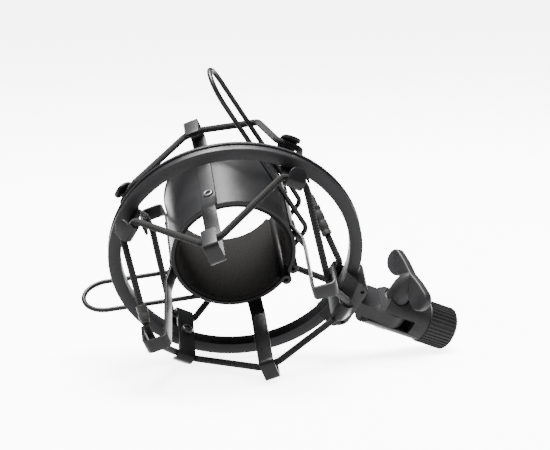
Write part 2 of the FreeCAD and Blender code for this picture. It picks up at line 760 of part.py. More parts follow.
# ---------------------------------------------------------------------------------------------
# Swivel: yoke, clevis, thumb screw, collar
# ---------------------------------------------------------------------------------------------
def make_yoke():
    face = size("ring_radius + yoke_wall")
    half_width = size("yoke_half_width")
    body = new_body("swivel_yoke_block")
    saddle = new_sketch(body, "saddle_profile", "XY_Plane")
    rectangle(saddle, "ring_radius - ring_wall - 4", "ring_radius + yoke_wall", "0 - yoke_half_width",
              "yoke_half_width")
    block = pad(body, saddle, "saddle", "yoke_depth", symmetric=True)

    def outer_corner(edge):
        middle = edge.CenterOfMass
        return middle.x > face - 0.1 and abs(abs(middle.y) - half_width) < 0.1

    rounded = dress(body, "Fillet", "saddle_corners", block, outer_corner, "yoke_corner")

    def outer_rim(edge):
        middle = edge.CenterOfMass
        flat = abs(abs(middle.z) - size("yoke_depth / 2")) < 0.01
        return flat and middle.x > size("ring_radius + 0.5")

    dress(body, "Fillet", "saddle_rim", rounded, outer_rim, "yoke_corner * 0.32")
    tongue = new_sketch(body, "tongue_profile", "XZ_Plane")
    half = size("yoke_depth / 2")
    hinge = size("ring_radius + hinge_reach")
    root = face - 1
    tongue.addGeometry([
        Part.LineSegment(Vector(root, -half + 0.8, 0), Vector(root, half - 0.8, 0)),
        Part.LineSegment(Vector(root, half - 0.8, 0), Vector(hinge, half, 0)),
        Part.Arc(Vector(hinge, half, 0), Vector(hinge + half, 0, 0), Vector(hinge, -half, 0)),
        Part.LineSegment(Vector(hinge, -half, 0), Vector(root, -half + 0.8, 0)),
    ], False)
    pad(body, tongue, "tongue", "tongue_thickness", symmetric=True)
    pivot = new_sketch(body, "pivot_hole", "XZ_Plane")
    circle(pivot, "stud_radius + run", "ring_radius + hinge_reach", "0")
    pocket(body, pivot, "pivot_through")
    inside = size("ring_radius - ring_wall") + 0.2
    hollow = rod("yoke_hollow", "ring_radius - ring_wall + 0.2", Vector(0, 0, -half - 1),
                 Vector(0, 0, half + 1))
    channel_half = size("ring_width / 2 + fit")
    channel = rod("yoke_channel", "ring_radius + fit", Vector(0, 0, -channel_half),
                  Vector(0, 0, channel_half))
    flares = []
    for side in (1, -1):
        flare = doc.addObject("Part::Cone", "yoke_flare_%d" % side)
        flare.Radius1 = inside
        flare.Radius2 = size("ring_radius - 0.4")
        flare.Height = half - channel_half - 0.6
        spin = Rotation() if side > 0 else Rotation(Vector(1, 0, 0), 180)
        flare.Placement = Placement(Vector(0, 0, side * (channel_half + 0.6)), spin)
        flares.append(flare)
    pins = []
    for side in (1, -1):
        mouth = Vector(size("ring_radius + 2.2"), side * half_width * 0.7, half)
        pins.append(rod("yoke_pin_hole_%d" % side, "cord_radius * 0.6",
                        mouth - Vector(0, 0, 1.2), mouth + Vector(0, 0, 2)))
    keep("swivel_yoke", cut("swivel_yoke", body, [hollow, channel] + flares + pins), MOUNT)


HINGE = Placement(
    Vector(size("ring_radius + hinge_reach"), 0, 0), Rotation(Vector(0, 1, 0), size("swivel_tilt")))


def make_clevis():
    body = new_body("clevis_body")
    tube = new_sketch(body, "body_profile", "YZ_Plane", -size("lower_ear"))
    circle(tube, "clevis_radius")
    pad(body, tube, "body_round", "lower_ear + clevis_end")
    neck = new_sketch(body, "neck_profile", "YZ_Plane", size("clevis_end") - 0.5)
    circle(neck, "insert_radius - 1.5")
    pad(body, neck, "neck", "3.5")
    lip = new_sketch(body, "lip_profile", "YZ_Plane", size("clevis_end") + 2.0)
    circle(lip, "insert_radius - 0.5")
    pad(body, lip, "snap_lip", "1.0")
    slot = new_sketch(body, "slot_profile", "XY_Plane")
    side = "tongue_thickness / 2 + tongue_play"
    rectangle(slot, "0 - lower_ear - 1", "slot_end", "0 - ( %s )" % side, side)
    pocket(body, slot, "slot")
    upper = new_sketch(body, "upper_ear_end", "XY_Plane")
    polygon(upper, (
        ("0 - lower_ear - 1", "0"),
        ("0 - upper_ear", "0"),
        ("0 - upper_ear", side),
        ("2.4 - upper_ear", "clevis_radius + 1"),
        ("0 - lower_ear - 1", "clevis_radius + 1"),
    ))
    pocket(body, upper, "upper_ear_cut")
    rounding = new_sketch(body, "lower_ear_rounding", "XZ_Plane")
    end, radius = size("lower_ear"), size("clevis_radius")
    for side in (1, -1):
        corner = [Vector(-end - 1, side * (radius + 1), 0), Vector(-end - 1, side * 3.2, 0),
                  Vector(-end, side * 3.2, 0), Vector(-end + 4.6, side * (radius + 0.4), 0),
                  Vector(-end + 4.6, side * (radius + 1), 0)]
        middle = Vector(-end + 1.1, side * 7.2, 0)
        rounding.addGeometry([
            Part.LineSegment(corner[0], corner[1]),
            Part.LineSegment(corner[1], corner[2]),
            Part.Arc(corner[2], middle, corner[3]),
            Part.LineSegment(corner[3], corner[4]),
            Part.LineSegment(corner[4], corner[0]),
        ], False)
    pocket(body, rounding, "lower_ear_corners")
    pivot = new_sketch(body, "pivot_hole", "XZ_Plane")
    circle(pivot, "stud_radius + run")
    pocket(body, pivot, "pivot_through")
    seat = new_sketch(body, "hub_seat_profile", "XZ_Plane", -size("hub_seat"))
    circle(seat, "hub_radius + 0.5")
    pocket(body, seat, "hub_recess", "clevis_radius")
    nut = new_sketch(body, "nut_profile", "XZ_Plane", size("clevis_radius - nut_height - 0.4"))
    nut.addGeometry(hexagon(size("nut_flats / 2 + fit")), False)
    pocket(body, nut, "nut_pocket", "nut_height + 2", reverse=True)
    body.Placement = HINGE
    keep("clevis_body", body, MOUNT)


def hexagon(half_flats):
    corners = [Vector(half_flats / math.cos(math.pi / 6) * math.cos(math.radians(60 * k)),
                      half_flats / math.cos(math.pi / 6) * math.sin(math.radians(60 * k)), 0)
               for k in range(6)]
    return [Part.LineSegment(a, b) for a, b in zip(corners, corners[1:] + corners[:1])]


def make_thumb_screw():
    """Wing knob moulded over the head of a stud, with a washer under it and a nut below."""
    turn = Placement(Vector(size("ring_radius + hinge_reach"), 0, 0),
                     Rotation(Vector(0, 1, 0), size("wing_turn")))
    washer_top = size("hub_seat + 0.7")
    knob = new_body("wing_knob")
    hub = new_sketch(knob, "hub_profile", "XY_Plane")
    base, radius = washer_top + size("fit"), size("hub_radius")
    top = size("wing_top - wing_height * 0.55")
    outline = [(0, base), (radius - 0.4, base), (radius, base + 0.5), (radius * 0.86, top - 2),
               (radius * 0.8, top), (0, top)]
    places = [Vector(x, y, 0) for x, y in outline]
    hub.addGeometry(
        [Part.LineSegment(a, b) for a, b in zip(places, places[1:] + places[:1])], False)
    revolution(knob, hub, "hub", "Y_Axis")
    wing = new_sketch(knob, "wing_profile", "YZ_Plane")
    crown, foot = size("wing_top"), size("wing_top - wing_height")
    half, corner = size("wing_span / 2"), size("wing_height * 0.46")
    edges = []
    right = [Vector(crown - 1.2, half, 0), Vector(foot + corner, half, 0),
             Vector(foot + 0.29 * corner, half - 0.29 * corner, 0), Vector(foot, half - corner, 0),
             Vector(foot + 0.5, 9.5, 0), Vector(foot + 3.6, 4.0, 0), Vector(foot + 4.2, 0, 0)]
    crest = [Vector(crown - 0.9, 0, 0), Vector(crown, 7.0, 0), Vector(crown, half - 1.2, 0)]
    for side in (1, -1):
        flip = [Vector(p.x, side * p.y, 0) for p in right]
        peak = [Vector(p.x, side * p.y, 0) for p in crest]
        edges += [
            Part.LineSegment(peak[0], peak[1]),
            Part.LineSegment(peak[1], peak[2]),
            Part.LineSegment(peak[2], flip[0]),
            Part.LineSegment(flip[0], flip[1]),
            Part.Arc(flip[1], flip[2], flip[3]),
            Part.LineSegment(flip[3], flip[4]),
            Part.LineSegment(flip[4], flip[5]),
            Part.LineSegment(flip[5], flip[6]),
        ]
    wing.addGeometry(edges, False)
    pad(knob, wing, "wings", "wing_thickness", symmetric=True)
    socket = new_sketch(knob, "stud_socket_profile", "XZ_Plane", -size("hub_seat"))
    circle(socket, "stud_radius + 0.02")
    pocket(knob, socket, "stud_socket", "5.6")
    knob.Placement = turn
    keep("wing_knob", knob, MOUNT)

    low = -size("clevis_radius") + 0.4
    stud = rod("thumb_screw_stud", "stud_radius", Vector(0, low, 0),
               Vector(0, size("hub_seat + 5.4"), 0))
    stud.Placement = turn.multiply(stud.Placement)
    keep("thumb_screw_stud", stud, MOUNT)

    ring = rod("washer_disc", "hub_radius", Vector(0, size("hub_seat + fit"), 0),
               Vector(0, washer_top, 0))
    hole = rod("washer_hole", "stud_radius + run", Vector(0, 0, 0), Vector(0, washer_top + 2, 0))
    washer = cut("thumb_screw_washer", ring, [hole])
    washer.Placement = HINGE
    keep("thumb_screw_washer", washer, MOUNT)

    nut = new_body("hinge_nut")
    face = new_sketch(nut, "nut_profile", "XZ_Plane", size("clevis_radius - nut_height - 0.4 + fit"))
    face.addGeometry(hexagon(size("nut_flats / 2")), False)
    pad(nut, face, "nut_blank", "nut_height")
    bore = new_sketch(nut, "nut_bore_profile", "XZ_Plane")
    circle(bore, "stud_radius + fit")
    pocket(nut, bore, "nut_bore")
    nut.Placement = HINGE
    keep("hinge_nut", nut, MOUNT)


def make_collar():
    """Ribbed collar that snaps over the clevis and holds the threaded insert."""
    start = size("clevis_end + run")
    body = new_body("ribbed_collar")
    core = new_sketch(body, "core_profile", "YZ_Plane", start)
    circle(core, "collar_radius - rib_height")
    blank = pad(body, core, "core", "collar_length")
    rib = new_sketch(body, "rib_profile", "YZ_Plane", start + 0.8)
    floor = size("collar_radius - rib_height") - 0.3
    half = math.pi * size("collar_radius") / COLLAR_RIBS * 0.55
    tip = size("collar_radius")
    rib.addGeometry([
        Part.LineSegment(Vector(floor, half, 0), Vector(floor, -half, 0)),
        Part.Arc(Vector(floor, -half, 0), Vector(tip, 0, 0), Vector(floor, half, 0)),
    ], False)
    ridge = pad(body, rib, "rib", "collar_length - 1.6")
    pattern = body.newObject("PartDesign::PolarPattern", "ribs")
    pattern.Originals = [ridge]
    axis = next(item for item in body.Origin.OriginFeatures if item.Role == "X_Axis")
    pattern.Axis = (axis, [""])
    pattern.Angle = 360
    pattern.Occurrences = COLLAR_RIBS
    body.Tip = pattern
    doc.recompute()
    if pattern.Shape.Volume < blank.Shape.Volume:
        raise ValueError("the collar's ribs are missing")
    for name, radius, first, last in (
        ("neck_hole", "insert_radius - 1.5 + run", start - 1, start + 2),
        ("lip_room", "insert_radius - 0.5 + run", size("clevis_end") + 1.7, start + 3.6),
        ("insert_room", "insert_radius", start + 3.5, start + size("collar_length") + 1),
    ):
        sketch = new_sketch(body, name + "_profile", "YZ_Plane", first)
        circle(sketch, radius)
        pocket(body, sketch, name, "%.4f" % (last - first), reverse=True)
    body.Placement = HINGE
    keep("ribbed_collar", body, MOUNT)

    insert = new_body("thread_insert")
    sleeve = new_sketch(insert, "insert_profile", "YZ_Plane", start + size("collar_length")
                        - size("insert_length") - 0.1)
    circle(sleeve, "insert_radius - fit * 0.4")
    circle(sleeve, "thread_radius")
    pad(insert, sleeve, "insert_sleeve", "insert_length")
    insert.Placement = HINGE
    keep("thread_insert", insert, MOUNT)


# ---------------------------------------------------------------------------------------------
# Build
# ---------------------------------------------------------------------------------------------
make_ring()
for clip_name, clip_azimuth in CLIPS:
    make_clip(clip_name, clip_azimuth)
make_clip_screws()
for half_name in HALVES:
    make_shell(half_name)
    make_felt(half_name)
    make_rivets(half_name)
    make_handle(half_name)
for strip_name, strip_azimuth, strip_radius, _half in STRIPS:
    make_strip(strip_name, strip_azimuth, strip_radius)
front_joint, front_heading = make_cord("elastic_front", 1, 9, 0.83)
rear_joint, rear_heading = make_cord("elastic_rear", -1, 1, 0.52)
make_ferrule("ferrule_front", front_joint, front_heading, 3.2, 1.2)
make_ferrule("ferrule_rear", rear_joint, rear_heading * -1, 7.4, 5.4)
make_yoke()
make_clevis()
make_thumb_screw()
make_collar()
doc.recompute()


# ---------------------------------------------------------------------------------------------
# Lay the mount on the table
# ---------------------------------------------------------------------------------------------
def cloud(name):
    """Points all over a piece, in the mount frame."""
    item, frame = pieces[name]
    return [frame.multVec(point) for point in item.Shape.tessellate(0.05)[0]]


def resting_up(names, up):
    """Upward direction when the lowest points of three pieces are on one level."""
    clouds = [cloud(name) for name in names]
    for _step in range(12):
        low = [min(points, key=lambda point: point.dot(up)) for points in clouds]
        normal = (low[1] - low[0]).cross(low[2] - low[0]).normalize()
        up = normal if normal.dot(up) > 0 else normal * -1
    return up


UP_GUESS = Vector(-0.38, 0.81, -0.43)
up = resting_up(("cord_clip_lower", "hook_strip_lower_front", "ribbed_collar"), UP_GUESS)
arm = Vector(1, 0, 0)
level = (arm - up * arm.dot(up)).normalize()
lay = Placement(Vector(), Rotation(level, up.cross(level), up, "ZXY").inverted())
whole = [lay.multVec(point) for name in pieces for point in cloud(name)]
low_corner = Vector(*(min(point[k] for point in whole) for k in range(3)))
high_corner = Vector(*(max(point[k] for point in whole) for k in range(3)))
middle = (low_corner + high_corner) * 0.5
lay.Base = Vector(-middle.x, -middle.y, -low_corner.z)
for item, frame in pieces.values():
    item.Placement = lay.multiply(frame).multiply(item.Placement)
doc.recompute()

# ---------------------------------------------------------------------------------------------
# Check and write
# ---------------------------------------------------------------------------------------------
faults = []
for item in doc.Objects:
    if "Invalid" in item.State or "Error" in item.State:
        faults.append("%s: %s" % (item.Label, item.State))
for name, (item, _frame) in pieces.items():
    if item.Shape.isNull() or not item.Shape.isValid() or not item.Shape.Solids:
        faults.append("%s: bad shape" % name)
if faults:
    raise ValueError("; ".join(faults))

os.makedirs("parts", exist_ok=True)
for name, (item, _frame) in pieces.items():
    item.Shape.exportStep("parts/%s.step" % name)

print("pieces %d, size %.1f x %.1f x %.1f mm" % (
    len(pieces), high_corner.x - low_corner.x, high_corner.y - low_corner.y,
    high_corner.z - low_corner.z))
for label, frame in (("mount", lay), ("basket", lay.multiply(BASKET)),
                     ("hinge", lay.multiply(HINGE))):
    rows = [frame.Rotation.multVec(Vector(*axis)) for axis in ((1, 0, 0), (0, 1, 0), (0, 0, 1))]
    print("%s frame: origin %s, X %s, Y %s, Z %s" % (
        (label, tuple(round(c, 4) for c in frame.Base))
        + tuple(tuple(round(c, 6) for c in axis) for axis in rows)))
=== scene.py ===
# %% [markdown]
# # A spider shock mount for a studio microphone
# The real object is a ring with a basket hung inside it on two elastic cords. The basket is a slit
# barrel lined with felt, with four hooked strips riveted along it and two wire handles that open
# it. A swivel on the ring ends in a ribbed collar that screws onto a microphone stand.
# Everything is made in millimetres, each piece in the frame of the part of the mount that it
# belongs to, and then laid into the row frame, so that the numbers stay the ones of the workshop.

# %% Load the frame
import json
import math

import bpy
import numpy as np
from mathutils import Matrix, Vector

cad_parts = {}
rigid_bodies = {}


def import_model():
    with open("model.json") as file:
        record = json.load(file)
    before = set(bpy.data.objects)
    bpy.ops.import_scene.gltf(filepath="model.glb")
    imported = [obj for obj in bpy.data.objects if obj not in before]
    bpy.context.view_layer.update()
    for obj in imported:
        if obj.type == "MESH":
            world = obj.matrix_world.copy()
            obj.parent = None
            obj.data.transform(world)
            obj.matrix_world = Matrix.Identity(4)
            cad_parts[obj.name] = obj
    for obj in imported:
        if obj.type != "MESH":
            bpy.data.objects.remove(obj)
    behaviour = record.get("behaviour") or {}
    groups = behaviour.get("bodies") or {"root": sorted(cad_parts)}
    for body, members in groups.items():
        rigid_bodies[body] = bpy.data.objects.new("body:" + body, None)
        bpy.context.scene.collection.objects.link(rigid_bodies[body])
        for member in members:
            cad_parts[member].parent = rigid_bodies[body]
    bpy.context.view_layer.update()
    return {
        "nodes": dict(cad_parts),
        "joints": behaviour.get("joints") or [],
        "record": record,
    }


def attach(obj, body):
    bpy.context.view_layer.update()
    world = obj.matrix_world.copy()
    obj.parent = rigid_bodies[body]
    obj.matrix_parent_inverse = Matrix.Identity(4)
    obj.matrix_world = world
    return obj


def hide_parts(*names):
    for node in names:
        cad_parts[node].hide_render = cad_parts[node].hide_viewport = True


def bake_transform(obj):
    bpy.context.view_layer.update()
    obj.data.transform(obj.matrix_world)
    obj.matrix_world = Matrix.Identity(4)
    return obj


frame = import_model()

# %% [markdown]
# ## Where things are
# A maker works from a few datums: the ring's centre, the barrel's axis and the swivel's pivot. The
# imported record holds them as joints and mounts, so they are read from there and never typed in.
# Each datum becomes a matrix that takes a point in millimetres to its place in metres.

# %% Datums
MM = 0.001
HINGE_REACH = 79.1
BARREL_FRONT = 3.9
BARREL_LENGTH = 48.4
joints = {joint["name"]: joint for joint in frame["joints"]}
mounts = {mount["name"]: mount for mount in frame["record"]["mounts"]}


def datum(origin, along_x, along_z):
    """Matrix of a local frame in millimetres."""
    x = Vector(along_x).normalized()
    z = Vector(along_z).normalized()
    turn = Matrix((x, z.cross(x), z)).transposed().to_4x4()
    return Matrix.Translation(origin) @ turn @ Matrix.Scale(MM, 4)


ring_axis = Vector(joints["basket_float"]["axis"])
pivot_axis = Vector(joints["swivel_tilt"]["axis"])
pivot = Vector(joints["swivel_tilt"]["pos_m"])
arm = pivot_axis.cross(ring_axis)
RING = datum(pivot - arm * HINGE_REACH * MM, arm, ring_axis)
clamp = mounts["microphone_clamp"]
clamp_axis = Vector(clamp["axis"])
clamp_middle = Vector(clamp["pos_m"])
across_slit = clamp_middle - Vector(joints["clamp_open"]["pos_m"])
BASKET = datum(
    clamp_middle - clamp_axis * (BARREL_FRONT - BARREL_LENGTH / 2) * MM, across_slit, clamp_axis)
thread_axis = Vector(mounts["stand_thread"]["axis"])
SWIVEL = datum(pivot, thread_axis, thread_axis.cross(pivot_axis))
print("ring centre (m):", [round(c, 4) for c in RING.translation])

# %% [markdown]
# ## Working by hand, in code
# Sheet metal and wire are made by pushing stock along and bending it, and that is how they are
# modelled: a flat end face is extruded along each straight run and spun round each bend. Turned
# pieces start as an outline that is spun all the way round. Moulded pieces are blocks that are cut
# with booleans. The helpers below are those few moves; each piece then reads like its job card.

# %% Moves of the workshop
X, Y, Z = Vector((1, 0, 0)), Vector((0, 1, 0)), Vector((0, 0, 1))


def let_go():
    """Back to object mode with nothing selected."""
    if bpy.context.object and bpy.context.object.mode != "OBJECT":
        bpy.ops.object.mode_set(mode="OBJECT")
    bpy.ops.object.select_all(action="DESELECT")


def hold(piece):
    let_go()
    piece.select_set(True)
    bpy.context.view_layer.objects.active = piece


def open_up(piece, select="SELECT"):
    """Edit mode on one piece."""
    hold(piece)
    bpy.ops.object.mode_set(mode="EDIT")
    bpy.ops.mesh.select_all(action=select)


def end_face(name, start, heading, across, width, gauge, sides=4):
    """A strip's or a wire's cut end, selected and ready to be pushed."""
    let_go()
    if sides == 4:
        bpy.ops.mesh.primitive_plane_add(size=1)
    else:
        bpy.ops.mesh.primitive_circle_add(vertices=sides, radius=0.5, fill_type="NGON")
    piece = bpy.context.object
    piece.name = name
    axes = Matrix((across, heading.cross(across), heading)).transposed().to_4x4()
    piece.matrix_world = (
        Matrix.Translation(start) @ axes @ Matrix.Diagonal((width, gauge, 1, 1)))
    bpy.ops.object.transform_apply(location=True, rotation=True, scale=True)
    bpy.ops.object.mode_set(mode="EDIT")
    bpy.ops.mesh.select_all(action="SELECT")
    return piece


def push(move):
    bpy.ops.mesh.extrude_region_move(TRANSFORM_OT_translate={"value": move})


def bend(angle, centre, axis, steps):
    """Spin the selection; the operator turns the other way round its axis."""
    bpy.ops.mesh.spin(steps=steps, angle=-angle, center=centre, axis=axis)


def push_along(points, radii, degrees_per_step=10):
    """Push the selected end face along straight runs and round the bends between them."""
    here = points[0]
    for before, corner, after, radius in zip(points, points[1:], points[2:], radii):
        come = (corner - before).normalized()
        leave = (after - corner).normalized()
        turn = come.angle(leave)
        setback = radius * math.tan(turn / 2)
        entry = corner - come * setback
        axis = come.cross(leave).normalized()
        push(entry - here)
        steps = max(3, round(math.degrees(turn) / degrees_per_step))
        bend(turn, entry + axis.cross(come) * radius, axis, steps)
        here = corner + leave * setback
    push(points[-1] - here)


def outline(name, points, close=True, fill=False):
    """A drawn outline: one vertex pushed from point to point."""
    let_go()
    bpy.ops.mesh.primitive_plane_add(size=1)
    piece = bpy.context.object
    piece.name = name
    open_up(piece)
    bpy.ops.mesh.select_mode(type="VERT")
    bpy.ops.mesh.merge(type="CENTER")
    places = [Vector(point) for point in points]
    bpy.ops.transform.translate(value=places[0])
    for here, there in zip(places, places[1:] + (places[:1] if close else [])):
        push(there - here)
    bpy.ops.mesh.select_all(action="SELECT")
    bpy.ops.mesh.remove_doubles(threshold=1e-4)
    if fill:
        bpy.ops.mesh.edge_face_add()
    return piece


def face_outwards():
    bpy.ops.mesh.select_all(action="SELECT")
    bpy.ops.mesh.normals_make_consistent(inside=False)


def plate(name, points, thickness):
    """A filled outline pushed to its thickness."""
    piece = outline(name, points, fill=True)
    push(thickness)
    face_outwards()
    return piece


def lathe(name, points, axis, steps=64, close=True):
    """A turned piece: the outline spun once round an axis through the origin."""
    piece = outline(name, points, close)
    bend(2 * math.pi, (0, 0, 0), axis, steps)
    bpy.ops.mesh.select_all(action="SELECT")
    bpy.ops.mesh.remove_doubles(threshold=1e-4)
    face_outwards()
    let_go()
    return piece


def cylinder(name, radius, start, end, sides=64):
    """A round bar between two points."""
    let_go()
    start, end = Vector(start), Vector(end)
    bpy.ops.mesh.primitive_cylinder_add(
        vertices=sides, radius=radius, depth=(end - start).length, location=(start + end) / 2,
        rotation=(end - start).to_track_quat("Z", "Y").to_euler())
    bpy.ops.object.transform_apply(location=True, rotation=True, scale=True)
    bpy.context.object.name = name
    return bpy.context.object


def block(name, low, high):
    """A rectangular block between two corners."""
    let_go()
    low, high = Vector(low), Vector(high)
    bpy.ops.mesh.primitive_cube_add(size=1, location=(low + high) / 2, scale=high - low)
    bpy.ops.object.transform_apply(location=True, rotation=True, scale=True)
    bpy.context.object.name = name
    return bpy.context.object


def combine(piece, operation, *tools):
    """Cut tools away from a piece, or fuse them to it, and throw them away."""
    for tool in tools:
        apply(piece, "BOOLEAN", operation=operation, solver="EXACT", object=tool)
        bpy.data.objects.remove(tool)
    return piece


def pick_edges(piece, test):
    """Select the edges whose middle and length pass a test."""
    open_up(piece, "DESELECT")
    bpy.ops.mesh.select_mode(type="EDGE")
    bpy.ops.object.mode_set(mode="OBJECT")
    mesh = piece.data
    for edge in mesh.edges:
        a, b = (mesh.vertices[index].co for index in edge.vertices)
        edge.select = test((a + b) / 2, (a - b).length)
    bpy.ops.object.mode_set(mode="EDIT")


def apply(piece, kind, **settings):
    """One modifier with its settings, applied at once."""
    hold(piece)
    bpy.ops.object.modifier_add(type=kind)
    modifier = piece.modifiers[-1]
    for setting, value in settings.items():
        setattr(modifier, setting, value)
    bpy.ops.object.modifier_apply(modifier=modifier.name)


def soften(piece, width, segments=2, angle=38):
    """Round every sharp edge a little, as deburring and paint do."""
    apply(piece, "BEVEL", width=width, segments=segments, limit_method="ANGLE",
          angle_limit=math.radians(angle))


def copies(piece, matrices):
    """The same piece at several places, each copy with its own mesh, joined as one object."""
    let_go()
    others = []
    for matrix in matrices[1:]:
        other = piece.copy()
        other.data = piece.data.copy()
        other.data.transform(matrix)
        bpy.context.scene.collection.objects.link(other)
        others.append(other)
    piece.data.transform(matrices[0])
    hold(piece)
    for other in others:
        other.select_set(True)
    if others:
        bpy.ops.object.join()
    return piece


def lay(piece, nodes, body, place, material, smooth=35):
    """Bring a finished piece to its place, give it its finish and set it on its body."""
    hold(piece)
    piece.data.transform(place)
    bpy.ops.object.shade_smooth_by_angle(angle=math.radians(smooth))
    piece.data.materials.clear()
    piece.data.materials.append(material)
    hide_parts(*nodes)
    if body:
        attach(piece, body)
    print("  %-32s %6d faces" % (piece.name, len(piece.data.polygons)))
    return piece


def round_z(azimuth):
    return Matrix.Rotation(math.radians(azimuth), 4, "Z")


def on_azimuth(azimuth, radial, tangential=0.0, axial=0.0):
    return round_z(azimuth) @ Vector((radial, tangential, axial))


print("moves ready")

# %% [markdown]
# ## Finishes
# Nearly everything is black, so the pieces are told apart by how they take the light: satin paint
# on steel, grained mouldings, woven elastic and felt. Each finish is a Principled shader whose
# colour, roughness and bump vary a little through noise on Object coordinates, which stay the same
# size on every piece. The base colours and the specular level are darker than real paint, because
# the table is lit very brightly. In a dimmer scene the specular level wants to be raised.

# %% Building a finish


def new_finish(name, colours, roughness, scale, grain=None, metallic=0.0, specular=0.5):
    """Principled material whose colour and roughness drift between two values each.

    grain is the scale, strength, depth and detail of a fine relief under the finish.
    """
    material = bpy.data.materials.new(name)
    material.use_nodes = True
    tree = material.node_tree
    shader = tree.nodes["Principled BSDF"]
    shader.inputs["Metallic"].default_value = metallic
    shader.inputs["Specular IOR Level"].default_value = specular
    place = tree.nodes.new("ShaderNodeTexCoord")
    noise = tree.nodes.new("ShaderNodeTexNoise")
    noise.inputs["Scale"].default_value = scale
    noise.inputs["Detail"].default_value = 6
    tree.links.new(place.outputs["Object"], noise.inputs["Vector"])
    ramp = tree.nodes.new("ShaderNodeValToRGB")
    ramp.color_ramp.elements[0].position = 0.3
    ramp.color_ramp.elements[1].position = 0.72
    for element, colour in zip(ramp.color_ramp.elements, colours):
        element.color = (*colour, 1)
    tree.links.new(noise.outputs["Fac"], ramp.inputs["Fac"])
    tree.links.new(ramp.outputs["Color"], shader.inputs["Base Color"])
    spread = tree.nodes.new("ShaderNodeMapRange")
    spread.inputs["From Min"].default_value = 0.3
    spread.inputs["From Max"].default_value = 0.7
    spread.inputs["To Min"].default_value = roughness[0]
    spread.inputs["To Max"].default_value = roughness[1]
    tree.links.new(noise.outputs["Fac"], spread.inputs["Value"])
    tree.links.new(spread.outputs["Result"], shader.inputs["Roughness"])
    if grain:
        relief = tree.nodes.new("ShaderNodeTexNoise")
        bump = tree.nodes.new("ShaderNodeBump")
        fine, strength, depth, detail = grain
        relief.inputs["Scale"].default_value = fine
        relief.inputs["Detail"].default_value = detail
        bump.inputs["Strength"].default_value = strength
        bump.inputs["Distance"].default_value = depth
        tree.links.new(place.outputs["Object"], relief.inputs["Vector"])
        tree.links.new(relief.outputs["Fac"], bump.inputs["Height"])
        tree.links.new(bump.outputs["Normal"], shader.inputs["Normal"])
    return material


# %% [markdown]
# ### Paint and metal
# The strips and the barrel wear a smooth satin black; the ring's coat is a little coarser. Orange
# peel about a millimetre across breaks up the highlights. The hidden fittings are plated steel.

# %% Paint and metal
satin_black = new_finish("satin_black", ((0.0015, 0.0015, 0.0016), (0.0026, 0.0026, 0.0028)),
                         (0.3, 0.4), 45,
                         grain=(1400, 0.12, 0.00004, 3), specular=0.05)
ring_black = new_finish("ring_black", ((0.002, 0.002, 0.0022), (0.0032, 0.0032, 0.0035)),
                        (0.36, 0.48), 60,
                        grain=(2600, 0.25, 0.00005, 3), specular=0.05)
screw_black = new_finish("screw_black", ((0.003, 0.003, 0.003), (0.008, 0.0075, 0.007)),
                         (0.26, 0.4), 300,
                         grain=(3000, 0.1, 0.00003, 3), specular=0.15)
crimp_black = new_finish("crimp_black", ((0.005, 0.005, 0.005), (0.01, 0.0095, 0.009)),
                         (0.4, 0.52), 250,
                         grain=(1200, 0.2, 0.00006, 3), specular=0.06)
plated_steel = new_finish("plated_steel", ((0.42, 0.42, 0.43), (0.56, 0.56, 0.57)),
                          (0.22, 0.36), 200,
                          grain=(2500, 0.15, 0.00003, 3), metallic=1.0)
print("paint and metal:", [m.name for m in (satin_black, ring_black, screw_black, plated_steel)])

# %% [markdown]
# ### Mouldings
# The swivel is glass-filled plastic with a fine spark-eroded grain, which scatters the light from
# above into a soft grey. The collar is the same plastic with a slightly shallower grain.

# %% Mouldings
moulded = new_finish("moulded", ((0.003, 0.003, 0.0032), (0.005, 0.005, 0.0052)),
                     (0.42, 0.52), 120,
                     grain=(4200, 0.35, 0.00006, 5), specular=0.05)
ribbed = new_finish("ribbed", ((0.003, 0.003, 0.0032), (0.005, 0.005, 0.0052)),
                    (0.42, 0.52), 150,
                    grain=(4200, 0.3, 0.00005, 5), specular=0.05)
print("mouldings ready")

# %% [markdown]
# ### Felt
# Felt has no weave: it is matted hair. Detailed noise makes the relief, a warm fleck of coarser
# noise picks out tufts, and a little sheen lifts the grazing angles, where fuzz catches the light.

# %% Felt
felt = new_finish("felt", ((0.0004, 0.00037, 0.00035), (0.0021, 0.0019, 0.0016)), (0.92, 1.0), 900,
                  grain=(2300, 0.9, 0.0003, 8), specular=0.05)
felt_shader = felt.node_tree.nodes["Principled BSDF"]
felt_shader.inputs["Sheen Weight"].default_value = 0.012
felt_shader.inputs["Sheen Roughness"].default_value = 0.45
felt_shader.inputs["Sheen Tint"].default_value = (0.5, 0.46, 0.42, 1)
print("felt ready")

# %% [markdown]
# ### Woven elastic
# The cords are rubber inside a braided cover. A braid is two sets of yarns that cross: along the
# UV map laid round each cord, two slanted sine waves are multiplied, which raises a diamond where
# yarns lie on top. That follows the cord round its bends, which Object coordinates could not.

# %% Woven elastic
BRAID_PITCH = 2.4
YARNS = 7
elastic = new_finish("elastic", ((0.0011, 0.00105, 0.001), (0.003, 0.0028, 0.0026)), (0.78, 0.9), 1300,
                     specular=0.03)
elastic_tree = elastic.node_tree
elastic_shader = elastic_tree.nodes["Principled BSDF"]
elastic_shader.inputs["Sheen Weight"].default_value = 0.03


def slanted_wave(tree, slant):
    """Sine of a phase that runs along the cord and round it."""
    laid = tree.nodes.new("ShaderNodeUVMap")
    laid.uv_map = "along_and_round"
    phase = tree.nodes.new("ShaderNodeVectorMath")
    phase.operation = "DOT_PRODUCT"
    phase.inputs[1].default_value = (2 * math.pi / BRAID_PITCH, slant * 2 * math.pi * YARNS, 0)
    wave = tree.nodes.new("ShaderNodeMath")
    wave.operation = "SINE"
    tree.links.new(laid.outputs["UV"], phase.inputs[0])
    tree.links.new(phase.outputs["Value"], wave.inputs[0])
    return wave


